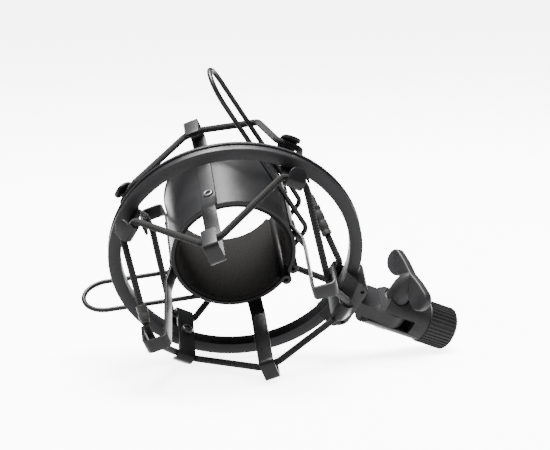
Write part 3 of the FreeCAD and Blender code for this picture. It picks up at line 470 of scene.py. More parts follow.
crossing = elastic_tree.nodes.new("ShaderNodeMath")
crossing.operation = "MULTIPLY"
for index, slant in enumerate((1, -1)):
    wave = slanted_wave(elastic_tree, slant)
    elastic_tree.links.new(wave.outputs["Value"], crossing.inputs[index])
braid = elastic_tree.nodes.new("ShaderNodeBump")
braid.inputs["Strength"].default_value = 0.75
braid.inputs["Distance"].default_value = 0.00018
elastic_tree.links.new(crossing.outputs["Value"], braid.inputs["Height"])
elastic_tree.links.new(braid.outputs["Normal"], elastic_shader.inputs["Normal"])
print("woven elastic ready")

# %% [markdown]
# ## The ring
# A flat band, turned from one outline: chamfered edges, and a groove round the outside with soft
# lips. Spinning the outline gives a clean band in one move. The four screws come through it, so
# four holes are bored through it.

# %% The ring
RING_RADIUS = 56.5
RING_INNER = 50.7
RING_HALF = 3.1
GROOVE_HALF = 1.2
GROOVE_FLOOR = RING_RADIUS - 0.7
SCREW_RADIUS = 1.5
CLIP_AZIMUTHS = {"cord_clip_swivel": 0, "cord_clip_upper": 90, "cord_clip_rear": 180,
                 "cord_clip_lower": 270}
half_ring = [
    (GROOVE_FLOOR, GROOVE_HALF - 0.25), (GROOVE_FLOOR + 0.25, GROOVE_HALF),
    (RING_RADIUS - 0.22, GROOVE_HALF), (RING_RADIUS, GROOVE_HALF + 0.25),
    (RING_RADIUS, RING_HALF - 0.6), (RING_RADIUS - 0.18, RING_HALF - 0.18),
    (RING_RADIUS - 0.6, RING_HALF), (RING_INNER + 0.5, RING_HALF),
    (RING_INNER + 0.15, RING_HALF - 0.15), (RING_INNER, RING_HALF - 0.5),
]
ring_outline = [(r, 0, z) for r, z in half_ring] + [(r, 0, -z) for r, z in reversed(half_ring)]
outer_ring = lathe("ring_band", ring_outline, Z, steps=192)
for clip_azimuth in CLIP_AZIMUTHS.values():
    combine(outer_ring, "DIFFERENCE", cylinder(
        "bore", SCREW_RADIUS + 0.08, on_azimuth(clip_azimuth, 45), on_azimuth(clip_azimuth, 62), 24))
lay(outer_ring, ["outer_ring"], "ring", RING, ring_black, smooth=32)

# %% [markdown]
# ## Cord clips
# Each clip is a strip of sheet laid across the ring inside, with both ends folded back into
# tongues that trap the cord. It is bent here as a press would: the strip's end face is pushed to
# the first bend, spun round it, and so on. The tongues' corners are then rounded with a bevel on
# the short edges of the ends.

# %% Cord clips
CLIP_WIDTH = 8.0
CLIP_GAUGE = 1.4
CLIP_REACH = 17.2
CLIP_BEND = 1.9
CLIP_TONGUE = 5.2
CLIP_TURN = math.radians(138)
FIT = 0.05
clip_line = math.sqrt(RING_INNER ** 2 - (CLIP_WIDTH / 2) ** 2) - CLIP_GAUGE / 2 - FIT
clip_bend = CLIP_BEND + CLIP_GAUGE / 2
clip_straight = CLIP_REACH - CLIP_GAUGE - CLIP_BEND
clip_setback = clip_bend * math.tan(CLIP_TURN / 2)
clip_corner = Vector((clip_line, 0, clip_straight + clip_setback))
clip_tip = clip_corner + Vector((math.sin(CLIP_TURN), 0, math.cos(CLIP_TURN))) * (
    clip_setback + CLIP_TONGUE)
clip_crook = Vector((clip_line + clip_bend, 0, clip_straight))
FLIP = Vector((1, 1, -1))

for clip_name, clip_azimuth in CLIP_AZIMUTHS.items():
    clip_points = [clip_tip * FLIP, clip_corner * FLIP, clip_corner, clip_tip]
    clip_heading = (clip_points[1] - clip_points[0]).normalized()
    clip = end_face("folded_" + clip_name, clip_points[0], clip_heading, Y, CLIP_WIDTH, CLIP_GAUGE)
    push_along(clip_points, [clip_bend, clip_bend])
    pick_edges(clip, lambda middle, length: abs(length - CLIP_GAUGE) < 0.01
               and middle.x > clip_tip.x - CLIP_GAUGE)
    bpy.ops.mesh.bevel(offset=CLIP_WIDTH * 0.42, segments=8, affect="EDGES")
    soften(clip, 0.22, segments=3)
    lay(clip, [clip_name], "ring", RING @ round_z(clip_azimuth), satin_black)

# %% [markdown]
# ## Clip screws
# Small pan-head screws with a cross recess. The head is a short bar whose rim is bevelled into a
# dome, the recess is cut with two crossed blocks, and one screw is copied to the four clips.

# %% Clip screws
HEAD_RADIUS = 2.7
HEAD_HEIGHT = 1.8
head_face = clip_line - CLIP_GAUGE / 2 - FIT
clip_screws = cylinder("pan_head_screws", HEAD_RADIUS, (head_face - HEAD_HEIGHT, 0, 0),
                       (head_face, 0, 0), 40)
pick_edges(clip_screws, lambda middle, length: middle.x < head_face - HEAD_HEIGHT + 0.01
           and middle.yz.length > HEAD_RADIUS * 0.8)
bpy.ops.mesh.bevel(offset=1.0, segments=6, affect="EDGES")
for long_y, long_z in ((1.75, 0.34), (0.34, 1.75)):
    recess_top = head_face - HEAD_HEIGHT
    combine(clip_screws, "DIFFERENCE", block(
        "recess", (recess_top - 1, -long_y, -long_z), (recess_top + 1.1, long_y, long_z)))
combine(clip_screws, "UNION", cylinder("shank", SCREW_RADIUS, (head_face - 0.2, 0, 0),
                                       (GROOVE_FLOOR - FIT, 0, 0), 24))
soften(clip_screws, 0.07, segments=2, angle=50)
copies(clip_screws, [round_z(azimuth) for azimuth in CLIP_AZIMUTHS.values()])
lay(clip_screws, ["clip_screws"], "ring", RING, screw_black)

# %% [markdown]
# ## The barrel
# One sheet, rolled into a C, with both edges of the slit curled outwards into tubes and both rims
# beaded. The beads belong to the sheet's section, so the section is drawn first and then spun
# three times: round the upper curl, round the barrel and round the lower curl. The real barrel
# flexes at the back when the handles are squeezed; this mesh is set on no body and doesn't flex.

# %% The barrel
BARREL_RADIUS = 27.35
BARREL_GAUGE = 1.2
ROLL_RADIUS = 2.4
ROLL_OFFSET = 3.2
CURL = math.radians(285)
barrel_back = BARREL_FRONT - BARREL_LENGTH
sheet_line = BARREL_RADIUS - BARREL_GAUGE / 2
curl_line = ROLL_RADIUS - BARREL_GAUGE / 2
roll_reach = sheet_line + curl_line
roll_centre = Vector((math.sqrt(roll_reach ** 2 - ROLL_OFFSET ** 2), ROLL_OFFSET, 0))
roll_azimuth = math.atan2(roll_centre.y, roll_centre.x)
curl_start = math.pi + roll_azimuth + CURL
curl_outward = Vector((math.cos(curl_start), math.sin(curl_start), 0))
half_gauge = BARREL_GAUGE / 2
rim = [(-half_gauge, 0.0), (half_gauge + 0.32, 0.0), (half_gauge + 0.5, 0.2),
       (half_gauge + 0.5, 0.7), (half_gauge + 0.3, 1.05), (half_gauge, 1.4)]
section = [(offset, barrel_back + rise) for offset, rise in rim]
section += [(offset, BARREL_FRONT - rise) for offset, rise in reversed(rim)]
barrel = outline("clamping_barrel", [
    roll_centre + curl_outward * (curl_line - offset) + Z * height for offset, height in section],
    fill=True)
bend(CURL, roll_centre, -Z, 20)
bend(2 * math.pi - 2 * roll_azimuth, (0, 0, 0), Z, 120)
bend(CURL, Vector((roll_centre.x, -roll_centre.y, 0)), -Z, 20)
face_outwards()
soften(barrel, 0.14, segments=2, angle=50)
lay(barrel, ["barrel_shell_upper", "barrel_shell_lower"], None, BASKET, satin_black,
    smooth=40)


def flex_at_back(piece):
    """Bake the piece's placing into its mesh; it doesn't follow either half of the basket."""
    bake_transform(piece)


flex_at_back(barrel)

# %% [markdown]
# ## The felt lining
# A strip of felt glued inside the barrel. Its section is drawn with many points along its length
# so that the spun mesh has nearly square faces, then it is divided once more and pushed about by
# a fine cloud texture: real felt is never quite smooth, and its cut edges are soft.

# %% The felt lining
FELT_THICKNESS = 2.0
FELT_SETBACK = 0.6
felt_outer = BARREL_RADIUS - BARREL_GAUGE - FIT - 0.1
felt_inner = BARREL_RADIUS - BARREL_GAUGE - FELT_THICKNESS + 0.12
felt_low = barrel_back + FELT_SETBACK
felt_high = BARREL_FRONT - FELT_SETBACK
FELT_ROWS = 26
felt_edge = roll_azimuth + math.radians(1.5)
rows = [felt_low + 0.5 + (felt_high - felt_low - 1.0) * row / FELT_ROWS
        for row in range(FELT_ROWS + 1)]
felt_section = [(felt_inner + 0.5, felt_low)]
felt_section += [(felt_inner, row) for row in rows]
felt_section += [(felt_inner + 0.5, felt_high), (felt_outer, felt_high)]
felt_section += [(felt_outer, felt_low)]
lining = outline("felt_lining", [
    Vector((r * math.cos(felt_edge), r * math.sin(felt_edge), z)) for r, z in felt_section],
    fill=True)
bend(2 * math.pi - 2 * felt_edge, (0, 0, 0), Z, 100)
face_outwards()
soften(lining, 0.3, segments=2, angle=40)
apply(lining, "SUBSURF", subdivision_type="SIMPLE", levels=1, render_levels=1)
matted = bpy.data.textures.new("matted_hair", "CLOUDS")
matted.noise_scale = 1.3
matted.noise_depth = 3
apply(lining, "DISPLACE", texture=matted, strength=0.2, mid_level=0.5)
lay(lining, ["felt_upper", "felt_lower"], None, BASKET, felt, smooth=60)
flex_at_back(lining)

# %% [markdown]
# ## Hooked strips
# Four strips run the length of the basket. Each hugs the barrel, humps over its front rim, and is
# bent square into a hook at both ends; only the radius of the front hook differs. They are pushed
# and bent from one list of corners, like the clips.

# %% Hooked strips
STRIP_WIDTH = 6.6
STRIP_GAUGE = 1.2
STRIP_FRONT = 47.5
STRIP_REAR = 51.4
STRIP_HUMP = 3.6
REAR_RADIUS = 29.4
HOOK_PLATE = 11.0
HOOK_LIP = 12.3
HOOK_BEND = 1.4
BEAD = 0.5
STRIPS = (
    ("hook_strip_upper_front", 42.0, 30.0, "basket_upper"),
    ("hook_strip_upper_rear", 138.5, 27.6, "basket_upper"),
    ("hook_strip_lower_rear", 227.5, 33.8, "basket_lower"),
    ("hook_strip_lower_front", 316.5, 28.8, "basket_lower"),
)
strip_seat = BARREL_RADIUS + FIT + STRIP_GAUGE / 2


def strip_corners(front_radius):
    """Corners of a strip's middle line, rear lip to front lip."""
    half = STRIP_GAUGE / 2
    plate = HOOK_PLATE - STRIP_GAUGE
    rear, front = REAR_RADIUS + half, front_radius + half
    back, ahead = half - STRIP_REAR, STRIP_FRONT - half
    corners = [
        (rear + plate, back - half + HOOK_LIP), (rear + plate, back), (rear, back),
        (strip_seat, barrel_back + 8 * BEAD), (strip_seat, BARREL_FRONT - 11 * BEAD),
        (strip_seat + STRIP_HUMP, BARREL_FRONT + 6.0), (front, ahead), (front + plate, ahead),
        (front + plate, ahead + half - HOOK_LIP),
    ]
    return [Vector((radius, 0, height)) for radius, height in corners]


hook_radius = HOOK_BEND + STRIP_GAUGE / 2
strip_radii = [hook_radius] * 2 + [4 * hook_radius] * 3 + [hook_radius] * 2
for strip_name, strip_azimuth, strip_front_radius, strip_body in STRIPS:
    corners = strip_corners(strip_front_radius)
    strip_heading = (corners[1] - corners[0]).normalized()
    strip = end_face("bent_" + strip_name, corners[0], strip_heading, Y, STRIP_WIDTH, STRIP_GAUGE)
    push_along(corners, strip_radii)
    pick_edges(strip, lambda middle, length: abs(length - STRIP_GAUGE) < 0.01 and min(
        (middle - corners[0]).length, (middle - corners[-1]).length) < STRIP_WIDTH * 0.6)
    bpy.ops.mesh.bevel(offset=0.8, segments=4, affect="EDGES")
    soften(strip, 0.18, segments=3)
    lay(strip, [strip_name], strip_body, BASKET @ round_z(strip_azimuth), satin_black)

# %% [markdown]
# ## Rivets
# Hollow rivets, rolled over on both faces: a turned outline with a rounded, slightly dished head.
# One is turned, then copied to each place; the four of a half are one piece, as they are one node.

# %% Rivets
RIVET_FRONT = 9.5
RIVET_REAR = 9.0
rivet_face = BARREL_RADIUS + STRIP_GAUGE + 2 * FIT
rivet_seat = math.sqrt((BARREL_RADIUS - BARREL_GAUGE) ** 2 - 2.5 ** 2) - FIT
rivet_outline = [
    (rivet_seat - 0.6, 0.85), (rivet_seat - 0.6, 2.1), (rivet_seat, 2.4), (rivet_seat, 1.4),
    (rivet_face, 1.4), (rivet_face, 2.35), (rivet_face + 0.14, 2.5), (rivet_face + 0.42, 2.42),
    (rivet_face + 0.64, 2.05), (rivet_face + 0.7, 1.6), (rivet_face + 0.62, 1.2),
    (rivet_face + 0.35, 0.95), (rivet_face - 0.2, 0.85),
]
rivet_heights = (BARREL_FRONT - RIVET_FRONT, barrel_back + RIVET_REAR)
for rivets_name, rivets_body in (("rivets_upper", "basket_upper"),
                                 ("rivets_lower", "basket_lower")):
    rivets = lathe("rolled_" + rivets_name, [(x, r, 0) for x, r in rivet_outline], X, steps=28)
    copies(rivets, [round_z(azimuth) @ Matrix.Translation((0, 0, height))
                    for _name, azimuth, _radius, body in STRIPS if body == rivets_body
                    for height in rivet_heights])
    lay(rivets, [rivets_name], rivets_body, BASKET, screw_black, smooth=50)

# %% [markdown]
# ## Squeeze handles
# Each handle is one length of wire: a leg, a half-round end, and a leg back, with both ends bent
# into the rolled edge of the slit. A round end face is pushed and bent along it in one go.

# %% Squeeze handles
WIRE_RADIUS = 1.1
HANDLE_HALF = 11.0
HANDLE_MIDDLE = -22.0
HANDLE_OFFSET = 31.0
HANDLE_AZIMUTH = math.radians(56.5)
HANDLE_REACH = 71.0


def handle_leg(side, height):
    """Corners of one leg, from inside the rolled edge to where the round end begins."""
    normal = Vector((math.cos(HANDLE_AZIMUTH), side * math.sin(HANDLE_AZIMUTH), 0))
    along = Vector((-math.sin(HANDLE_AZIMUTH), side * math.cos(HANDLE_AZIMUTH), 0))
    lift = Z * height
    return [
        Vector((roll_centre.x + 0.2, side * (roll_centre.y + 0.3), height)),
        normal * HANDLE_OFFSET - along * HANDLE_OFFSET * 0.5 + lift,
        normal * HANDLE_OFFSET + along * (HANDLE_REACH - HANDLE_HALF) + lift,
    ]


for handle_name, handle_body, side in (("squeeze_handle_upper", "basket_upper", 1),
                                       ("squeeze_handle_lower", "basket_lower", -1)):
    near = handle_leg(side, HANDLE_MIDDLE + HANDLE_HALF)
    far = handle_leg(side, HANDLE_MIDDLE - HANDLE_HALF)[::-1]
    first_heading = (near[1] - near[0]).normalized()
    handle = end_face("wire_" + handle_name, near[0], first_heading, Z, 2 * WIRE_RADIUS,
                      2 * WIRE_RADIUS, sides=18)
    push_along(near, [4 * WIRE_RADIUS], degrees_per_step=6)
    leg_heading = (near[2] - near[1]).normalized()
    bend(math.pi, (near[2] + far[0]) / 2, leg_heading.cross(-Z), 28)
    push_along(far, [4 * WIRE_RADIUS], degrees_per_step=6)
    face_outwards()
    lay(handle, [handle_name], handle_body, BASKET, satin_black, smooth=40)

# %% [markdown]
# ## Elastic cords
# Each cord is a zigzag between four hooks and four clips, pulled straight in between and folded
# sharply round each of them. The mount has three bodies that move against each other, so a cord
# is made in eight lengths: one round each clip and one round each hook. Only the lengths round the
# lower hooks are set on a body, the basket's lower half; the others are not set on any body. The
# tube is made in code, because its braid needs a UV map that knows how far along and how far round
# each point is.

# %% The cords' corners
CORD_RADIUS = 1.5
CORD_BEND = 2 * CORD_RADIUS


def clip_turn(azimuth, end):
    """Where a cord turns at a clip, one point each side, in the ring's frame."""
    aside = CLIP_WIDTH / 2 + CORD_RADIUS
    return [on_azimuth(azimuth, clip_crook.x, t, end * clip_crook.z) for t in (-aside, aside)]


def hook_turn(azimuth, front_radius, end):
    """Where a cord turns at a hook, one point each side, in the ring's frame."""
    inside = front_radius if end > 0 else REAR_RADIUS
    radial = inside + HOOK_PLATE - STRIP_GAUGE - CORD_RADIUS - 0.4
    aside = STRIP_WIDTH / 2 + CORD_RADIUS * 0.7
    height = end * ((STRIP_FRONT if end > 0 else STRIP_REAR) - HOOK_LIP * 0.66)
    to_ring = RING.inverted() @ BASKET
    return [to_ring @ on_azimuth(azimuth, radial, t, height) for t in (-aside, aside)]


def behind_handle():
    """The rear cord passes behind the far leg of the upper handle."""
    clear = WIRE_RADIUS + CORD_RADIUS + 0.8
    leg = handle_leg(1, HANDLE_MIDDLE - HANDLE_HALF - 0.65 * clear)
    along = (leg[2] - leg[1]).normalized()
    outward = along.cross(Z)
    return RING.inverted() @ BASKET @ (
        outward * (HANDLE_OFFSET + clear) + along * HANDLE_OFFSET + Z * leg[1].z)


def cord_stations(end):
    """The eight places that a cord goes round: clips and hooks in turn, with their corners."""
    stations = []
    for azimuth, (_strip, strip_azimuth, radius, body) in zip(CLIP_AZIMUTHS.values(), STRIPS):
        stations.append(["ring", clip_turn(azimuth, end)])
        stations.append([body, hook_turn(strip_azimuth, radius, end)])
    if end < 0:
        stations[3][1].insert(0, behind_handle())
    return stations


# %% [markdown]
# ### Rounding and wrapping
# A length's corners become a line of close points with a tangent arc at each corner. Rings of
# points are set square to that line; each ring starts from the one before it, turned as little as
# possible, so the braid doesn't twist.

# %% Rounding and wrapping
RING_POINTS = 16


def rounded_line(points):
    """Close points along runs joined by arcs."""
    line = [points[0]]
    for before, corner, after in zip(points, points[1:], points[2:]):
        come = (corner - before).normalized()
        leave = (after - corner).normalized()
        turn = come.angle(leave)
        setback = CORD_BEND * math.tan(turn / 2)
        entry = corner - come * setback
        axis = come.cross(leave).normalized()
        centre = entry + axis.cross(come) * CORD_BEND
        run = entry - line[-1]
        pieces = max(1, round(run.length / 2.5))
        line += [line[-1] + run * k / pieces for k in range(1, pieces + 1)]
        for k in range(1, 9):
            line.append(centre + Matrix.Rotation(turn * k / 8, 3, axis) @ (entry - centre))
    run = points[-1] - line[-1]
    pieces = max(1, round(run.length / 2.5))
    return line + [line[-1] + run * k / pieces for k in range(1, pieces + 1)]


def wrap_tube(name, line, radius):
    """A closed tube round a line, with a UV map of millimetres along and turns round."""
    vertices, lengths = [], [0.0]
    side = (line[1] - line[0]).orthogonal().normalized()
    for index, point in enumerate(line):
        ahead = line[min(index + 1, len(line) - 1)] - line[max(index - 1, 0)]
        ahead.normalize()
        side = (side - ahead * side.dot(ahead)).normalized()
        other = ahead.cross(side)
        for k in range(RING_POINTS):
            angle = 2 * math.pi * k / RING_POINTS
            vertices.append(point + (side * math.cos(angle) + other * math.sin(angle)) * radius)
        if index:
            lengths.append(lengths[-1] + (point - line[index - 1]).length)
    faces, maps = [], []
    for index in range(len(line) - 1):
        for k in range(RING_POINTS):
            here, there = index * RING_POINTS, (index + 1) * RING_POINTS
            after = (k + 1) % RING_POINTS
            faces.append((here + k, here + after, there + after, there + k))
            low, high = k / RING_POINTS, (k + 1) / RING_POINTS
            maps += [(lengths[index], low), (lengths[index], high),
                     (lengths[index + 1], high), (lengths[index + 1], low)]
    last = (len(line) - 1) * RING_POINTS
    faces.append(tuple(reversed(range(RING_POINTS))))
    faces.append(tuple(last + k for k in range(RING_POINTS)))
    maps += [(0.0, 0.0)] * (2 * RING_POINTS)
    mesh = bpy.data.meshes.new(name)
    mesh.from_pydata(vertices, [], faces)
    laid = mesh.uv_layers.new(name="along_and_round")
    laid.data.foreach_set("uv", np.array(maps, np.float32).ravel())
    tube = bpy.data.objects.new(name, mesh)
    bpy.context.scene.collection.objects.link(tube)
    return tube


# %% [markdown]
# ### Cutting the cords into lengths
# Two lengths meet part of the way along each run, nearer the clip, so that the sleeves crimped on
# the cords lie wholly on the lengths round the hooks.

# %% The cords in lengths
SPLIT = 0.24


def run_split(clip_side, hook_side):
    """Point of a run where its two lengths meet."""
    return clip_side.lerp(hook_side, SPLIT)


cord_runs = {}
for cord_name, end in (("elastic_front", 1), ("elastic_rear", -1)):
    stations = cord_stations(end)
    splits = []
    for index, (body, corners) in enumerate(stations):
        following = stations[(index + 1) % len(stations)][1]
        if body == "ring":
            splits.append(run_split(corners[-1], following[0]))
        else:
            splits.append(run_split(following[0], corners[-1]))
    cord_runs[cord_name] = stations
    for index, (body, corners) in enumerate(stations):
        line = rounded_line([splits[index - 1]] + corners + [splits[index]])
        length = wrap_tube("%s_%d" % (cord_name, index + 1), line, CORD_RADIUS)
        lay(length, [cord_name], body if body == "basket_lower" else None, RING, elastic,
            smooth=60)
        if body == "ring":
            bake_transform(length)
        elif body == "basket_upper":
            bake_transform(length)

# %% [markdown]
# ### Crimped sleeves
# The two ends of each cord meet in a crimped sleeve. The long one on the rear cord has a slimmer
# end where a second sleeve overlaps; a few shallow crimps pinch it.

# %% Crimped sleeves


def crimped_sleeve(name, cord_name, run, share, start, end, wide_end):
    """A turned sleeve along a run of a cord, with crimps pressed into its wide part."""
    corners = [corner for _body, group in cord_runs[cord_name] for corner in group]
    first, second = corners[run], corners[(run + 1) % len(corners)]
    heading = (second - first).normalized()
    joint = first.lerp(second, share)
    wide, slim = CORD_RADIUS * 1.6, CORD_RADIUS * 1.3
    bore = CORD_RADIUS + FIT
    profile = [(start, bore), (start, wide - 0.25), (start + 0.25, wide)]
    crimps = max(1, round((wide_end - start) / 5))
    for crimp in range(crimps):
        middle = start + (wide_end - start) * (crimp + 0.5) / crimps
        profile += [(middle - 0.9, wide), (middle - 0.4, wide - 0.22),
                    (middle + 0.4, wide - 0.22), (middle + 0.9, wide)]
    profile += [(wide_end - 0.25, wide), (wide_end, wide - 0.25), (wide_end + 0.1, slim),
                (end - 0.25, slim), (end, slim - 0.2), (end, bore)]
    sleeve = lathe("crimped_" + name, [(radius, 0, along) for along, radius in profile], Z, steps=32)
    turn = heading.to_track_quat("Z", "Y").to_matrix().to_4x4()
    sleeve.data.transform(Matrix.Translation(joint) @ turn)
    lay(sleeve, [name], "basket_lower", RING, crimp_black, smooth=40)


crimped_sleeve("ferrule_front", "elastic_front", 9, 0.83, -3.2, 4.4, 3.2)
crimped_sleeve("ferrule_rear", "elastic_rear", 1, 0.52, -7.4, 12.8, 7.4)

# %% [markdown]
# ## The swivel's yoke
# A moulding that saddles the ring and carries the tongue of the swivel. It starts as a block with
# rounded corners; the tongue is drawn and extruded, then the ring's seat and the hollow for the
# clip are cut out. A bevel all over gives the soft edges of a moulding.

# %% The swivel's yoke
YOKE_HALF_DEPTH = 9.0
YOKE_HALF_WIDTH = 13.2
YOKE_FACE = 61.8
YOKE_CORNER = 5.6
YOKE_RIM = 1.6
TONGUE_HALF = 3.2
TONGUE_TAPER = 0.8
STUD_RADIUS = 2.5
RUN = 0.1
PAST = 12
HOLLOW = RING_INNER + 0.2
FLARE_START = RING_HALF + FIT + 0.6
PIN_OUT = 2.2
PIN_DEPTH = 1.2
yoke = block("moulded_yoke", (RING_INNER - 4, -YOKE_HALF_WIDTH, -YOKE_HALF_DEPTH),
             (YOKE_FACE, YOKE_HALF_WIDTH, YOKE_HALF_DEPTH))
pick_edges(yoke, lambda middle, length: middle.x > YOKE_FACE - 0.1
           and abs(abs(middle.y) - YOKE_HALF_WIDTH) < 0.1)
bpy.ops.mesh.bevel(offset=YOKE_CORNER, segments=10, affect="EDGES")
pick_edges(yoke, lambda middle, length: abs(abs(middle.z) - YOKE_HALF_DEPTH) < 0.01
           and middle.x > RING_RADIUS + 0.5)
bpy.ops.mesh.bevel(offset=YOKE_RIM, segments=5, affect="EDGES")
tongue_root = YOKE_FACE - 1
tongue_outline = [(tongue_root, -TONGUE_HALF, TONGUE_TAPER - YOKE_HALF_DEPTH)]
for step in range(25):
    angle = -math.pi / 2 + math.pi * step / 24
    tongue_outline.append((HINGE_REACH + YOKE_HALF_DEPTH * math.cos(angle), -TONGUE_HALF,
                           YOKE_HALF_DEPTH * math.sin(angle)))
tongue_outline.append((tongue_root, -TONGUE_HALF, YOKE_HALF_DEPTH - TONGUE_TAPER))
combine(yoke, "UNION", plate("tongue", tongue_outline, (0, 2 * TONGUE_HALF, 0)))
combine(yoke, "DIFFERENCE", cylinder("pivot", STUD_RADIUS + RUN, (HINGE_REACH, -8, 0),
                                     (HINGE_REACH, 8, 0), 32))
channel_half = RING_HALF + FIT
combine(yoke, "DIFFERENCE",
        cylinder("hollow", HOLLOW, (0, 0, -PAST), (0, 0, PAST), 192),
        cylinder("seat", RING_RADIUS + FIT, (0, 0, -channel_half), (0, 0, channel_half), 192))
for side in (1, -1):
    flare = lathe("flare", [(0, 0, side * FLARE_START), (HOLLOW, 0, side * FLARE_START),
                            (RING_RADIUS - 0.4, 0, side * YOKE_HALF_DEPTH),
                            (RING_RADIUS - 0.2, 0, side * PAST), (0, 0, side * PAST)],
                  Z, steps=192)
    mouth = Vector((RING_RADIUS + PIN_OUT, side * YOKE_HALF_WIDTH * 0.7, YOKE_HALF_DEPTH))
    pin_hole = cylinder("pin_hole", 0.9, mouth - PIN_DEPTH * Z, mouth + 2 * Z, 20)
    combine(yoke, "DIFFERENCE", flare, pin_hole)
soften(yoke, 0.3, segments=3, angle=40)
lay(yoke, ["swivel_yoke"], "ring", RING, moulded)

# %% [markdown]
# ## The clevis
# A round bar that is slotted for the tongue. The lower ear is long and rounded, the upper one is
# short and slants back, and a round seat is sunk into it for the thumb screw's hub. All of it is
# cut from one cylinder, in the order that a miller would take.

# %% The clevis
CLEVIS_RADIUS = 9.4
LOWER_EAR = 12.4
UPPER_EAR = 6.2
SLOT_HALF = 3.4
SLOT_END = 10.4
CLEVIS_END = 17.4
HUB_SEAT = 6.4
HUB_RADIUS = 5.3
NUT_HEIGHT = 3.4
NUT_ROOM = 4.7
NECK_RADIUS = 7.0
EAR_SLANT = 2.4
EAR_FLAT = 3.2
EAR_DEPTH = 4.6
EAR_RISE = 6.6
before_ears = -LOWER_EAR - 1
clevis = cylinder("moulded_clevis", CLEVIS_RADIUS, (-LOWER_EAR, 0, 0), (CLEVIS_END, 0, 0), 96)
combine(clevis, "UNION", lathe("neck", [
    (CLEVIS_END - 1, 0, 0), (CLEVIS_END - 1, NECK_RADIUS, 0), (CLEVIS_END + 2, NECK_RADIUS, 0),
    (CLEVIS_END + 2, NECK_RADIUS + 1, 0), (CLEVIS_END + 2.5, NECK_RADIUS + 1, 0),
    (CLEVIS_END + 3, NECK_RADIUS + 0.6, 0), (CLEVIS_END + 3, 0, 0)], X, steps=96))
combine(clevis, "DIFFERENCE", block("slot", (before_ears, -SLOT_HALF, -PAST),
                                    (SLOT_END, SLOT_HALF, PAST)))
above = CLEVIS_RADIUS + 1
combine(clevis, "DIFFERENCE", plate("ear_cut", [
    (before_ears, 0, -PAST), (-UPPER_EAR, 0, -PAST), (-UPPER_EAR, SLOT_HALF, -PAST),
    (EAR_SLANT - UPPER_EAR, above, -PAST), (before_ears, above, -PAST)], (0, 0, 2 * PAST)))
for side in (1, -1):
    clear = side * (CLEVIS_RADIUS + 1.2)
    corner = [(before_ears, clear), (before_ears, side * EAR_FLAT), (-LOWER_EAR, side * EAR_FLAT)]
    for step in range(1, 8):
        angle = math.pi / 2 * step / 8
        corner.append((-LOWER_EAR + EAR_DEPTH * (1 - math.cos(angle)),
                       side * (EAR_FLAT + EAR_RISE * math.sin(angle))))
    corner += [(-LOWER_EAR + EAR_DEPTH, side * (EAR_FLAT + EAR_RISE)),
               (-LOWER_EAR + EAR_DEPTH, clear)]
    combine(clevis, "DIFFERENCE", plate(
        "rounding", [(x, -PAST, z) for x, z in corner], (0, 2 * PAST, 0)))
combine(clevis, "DIFFERENCE",
        cylinder("pivot", STUD_RADIUS + RUN, (0, -PAST, 0), (0, PAST, 0), 32),
        cylinder("hub_room", HUB_RADIUS + 0.5, (0, HUB_SEAT, 0), (0, 14, 0), 64),
        cylinder("nut_room", NUT_ROOM, (0, -14, 0), (0, NUT_HEIGHT + 0.4 - CLEVIS_RADIUS, 0), 6))
soften(clevis, 0.16, segments=2, angle=40)
lay(clevis, ["clevis_body"], "swivel", SWIVEL, moulded)

# %% [markdown]
# ## The thumb screw
# A wing knob moulded over the head of a steel stud. The wing is a plate with two round lobes that
# hang down on both sides of the hub. Its outline is drawn for one half and mirrored in code,
# and its edges are rounded generously, because fingers press on them.

# %% The wing knob
WING_TURN = 19.7
WING_TOP = 23.6
WING_HALF_SPAN = 18.0
WING_FOOT = WING_TOP - 10.6
WING_HALF_THICKNESS = 2.0
KNOB_BASE = HUB_SEAT + 0.75
LOBE_FOOT = 5.6
LOBE_TOP = 4.4
wing_half = [(WING_TOP - 0.9, 0.0), (WING_TOP - 0.35, 4.0), (WING_TOP, 8.0)]
quarter = [math.pi / 2 * step / 8 for step in range(9)]
wing_half += [(WING_TOP - LOBE_TOP + LOBE_TOP * math.cos(angle),
               WING_HALF_SPAN - LOBE_TOP + LOBE_TOP * math.sin(angle)) for angle in quarter]
wing_half += [(WING_FOOT + LOBE_FOOT - LOBE_FOOT * math.sin(angle),
               WING_HALF_SPAN - LOBE_FOOT + LOBE_FOOT * math.cos(angle)) for angle in quarter]
wing_half += [(WING_FOOT + 0.1, 10.2), (WING_FOOT + 0.8, 8.0), (WING_FOOT + 2.2, 6.2),
              (WING_FOOT + 3.6, 4.6), (WING_FOOT + 3.8, 0.0)]
wing_outline = [(-WING_HALF_THICKNESS, y, z) for y, z in wing_half]
wing_outline += [(-WING_HALF_THICKNESS, y, -z) for y, z in reversed(wing_half[1:-1])]
knob = plate("moulded_knob", wing_outline, (2 * WING_HALF_THICKNESS, 0, 0))
soften(knob, 0.9, segments=5, angle=60)
hub_top = WING_TOP - 1.4
hub = lathe("hub", [(0, KNOB_BASE, 0), (HUB_RADIUS - 0.4, KNOB_BASE, 0),
                    (HUB_RADIUS, KNOB_BASE + 0.4, 0), (HUB_RADIUS * 0.97, WING_FOOT + 1.5, 0),
                    (HUB_RADIUS * 0.82, WING_FOOT + 5.5, 0), (HUB_RADIUS * 0.55, hub_top - 1.2, 0),
                    (HUB_RADIUS * 0.4, hub_top, 0), (0, hub_top, 0)], Y, steps=64, close=False)
combine(knob, "UNION", hub)
soften(knob, 0.35, segments=3, angle=45)
wing_place = RING @ Matrix.Translation((HINGE_REACH, 0, 0)) @ Matrix.Rotation(
    math.radians(WING_TURN), 4, "Y")
lay(knob, ["wing_knob"], "thumb_screw", wing_place, moulded, smooth=40)

# %% [markdown]
# ## The ribbed collar and its thread
# The collar is turned, then fine ribs are set round it, one rib copied by a loop. Inside sits a
# metal insert with the stand's thread. The thread is a small wedge carried round by a Screw
# modifier, 27 turns to the inch.

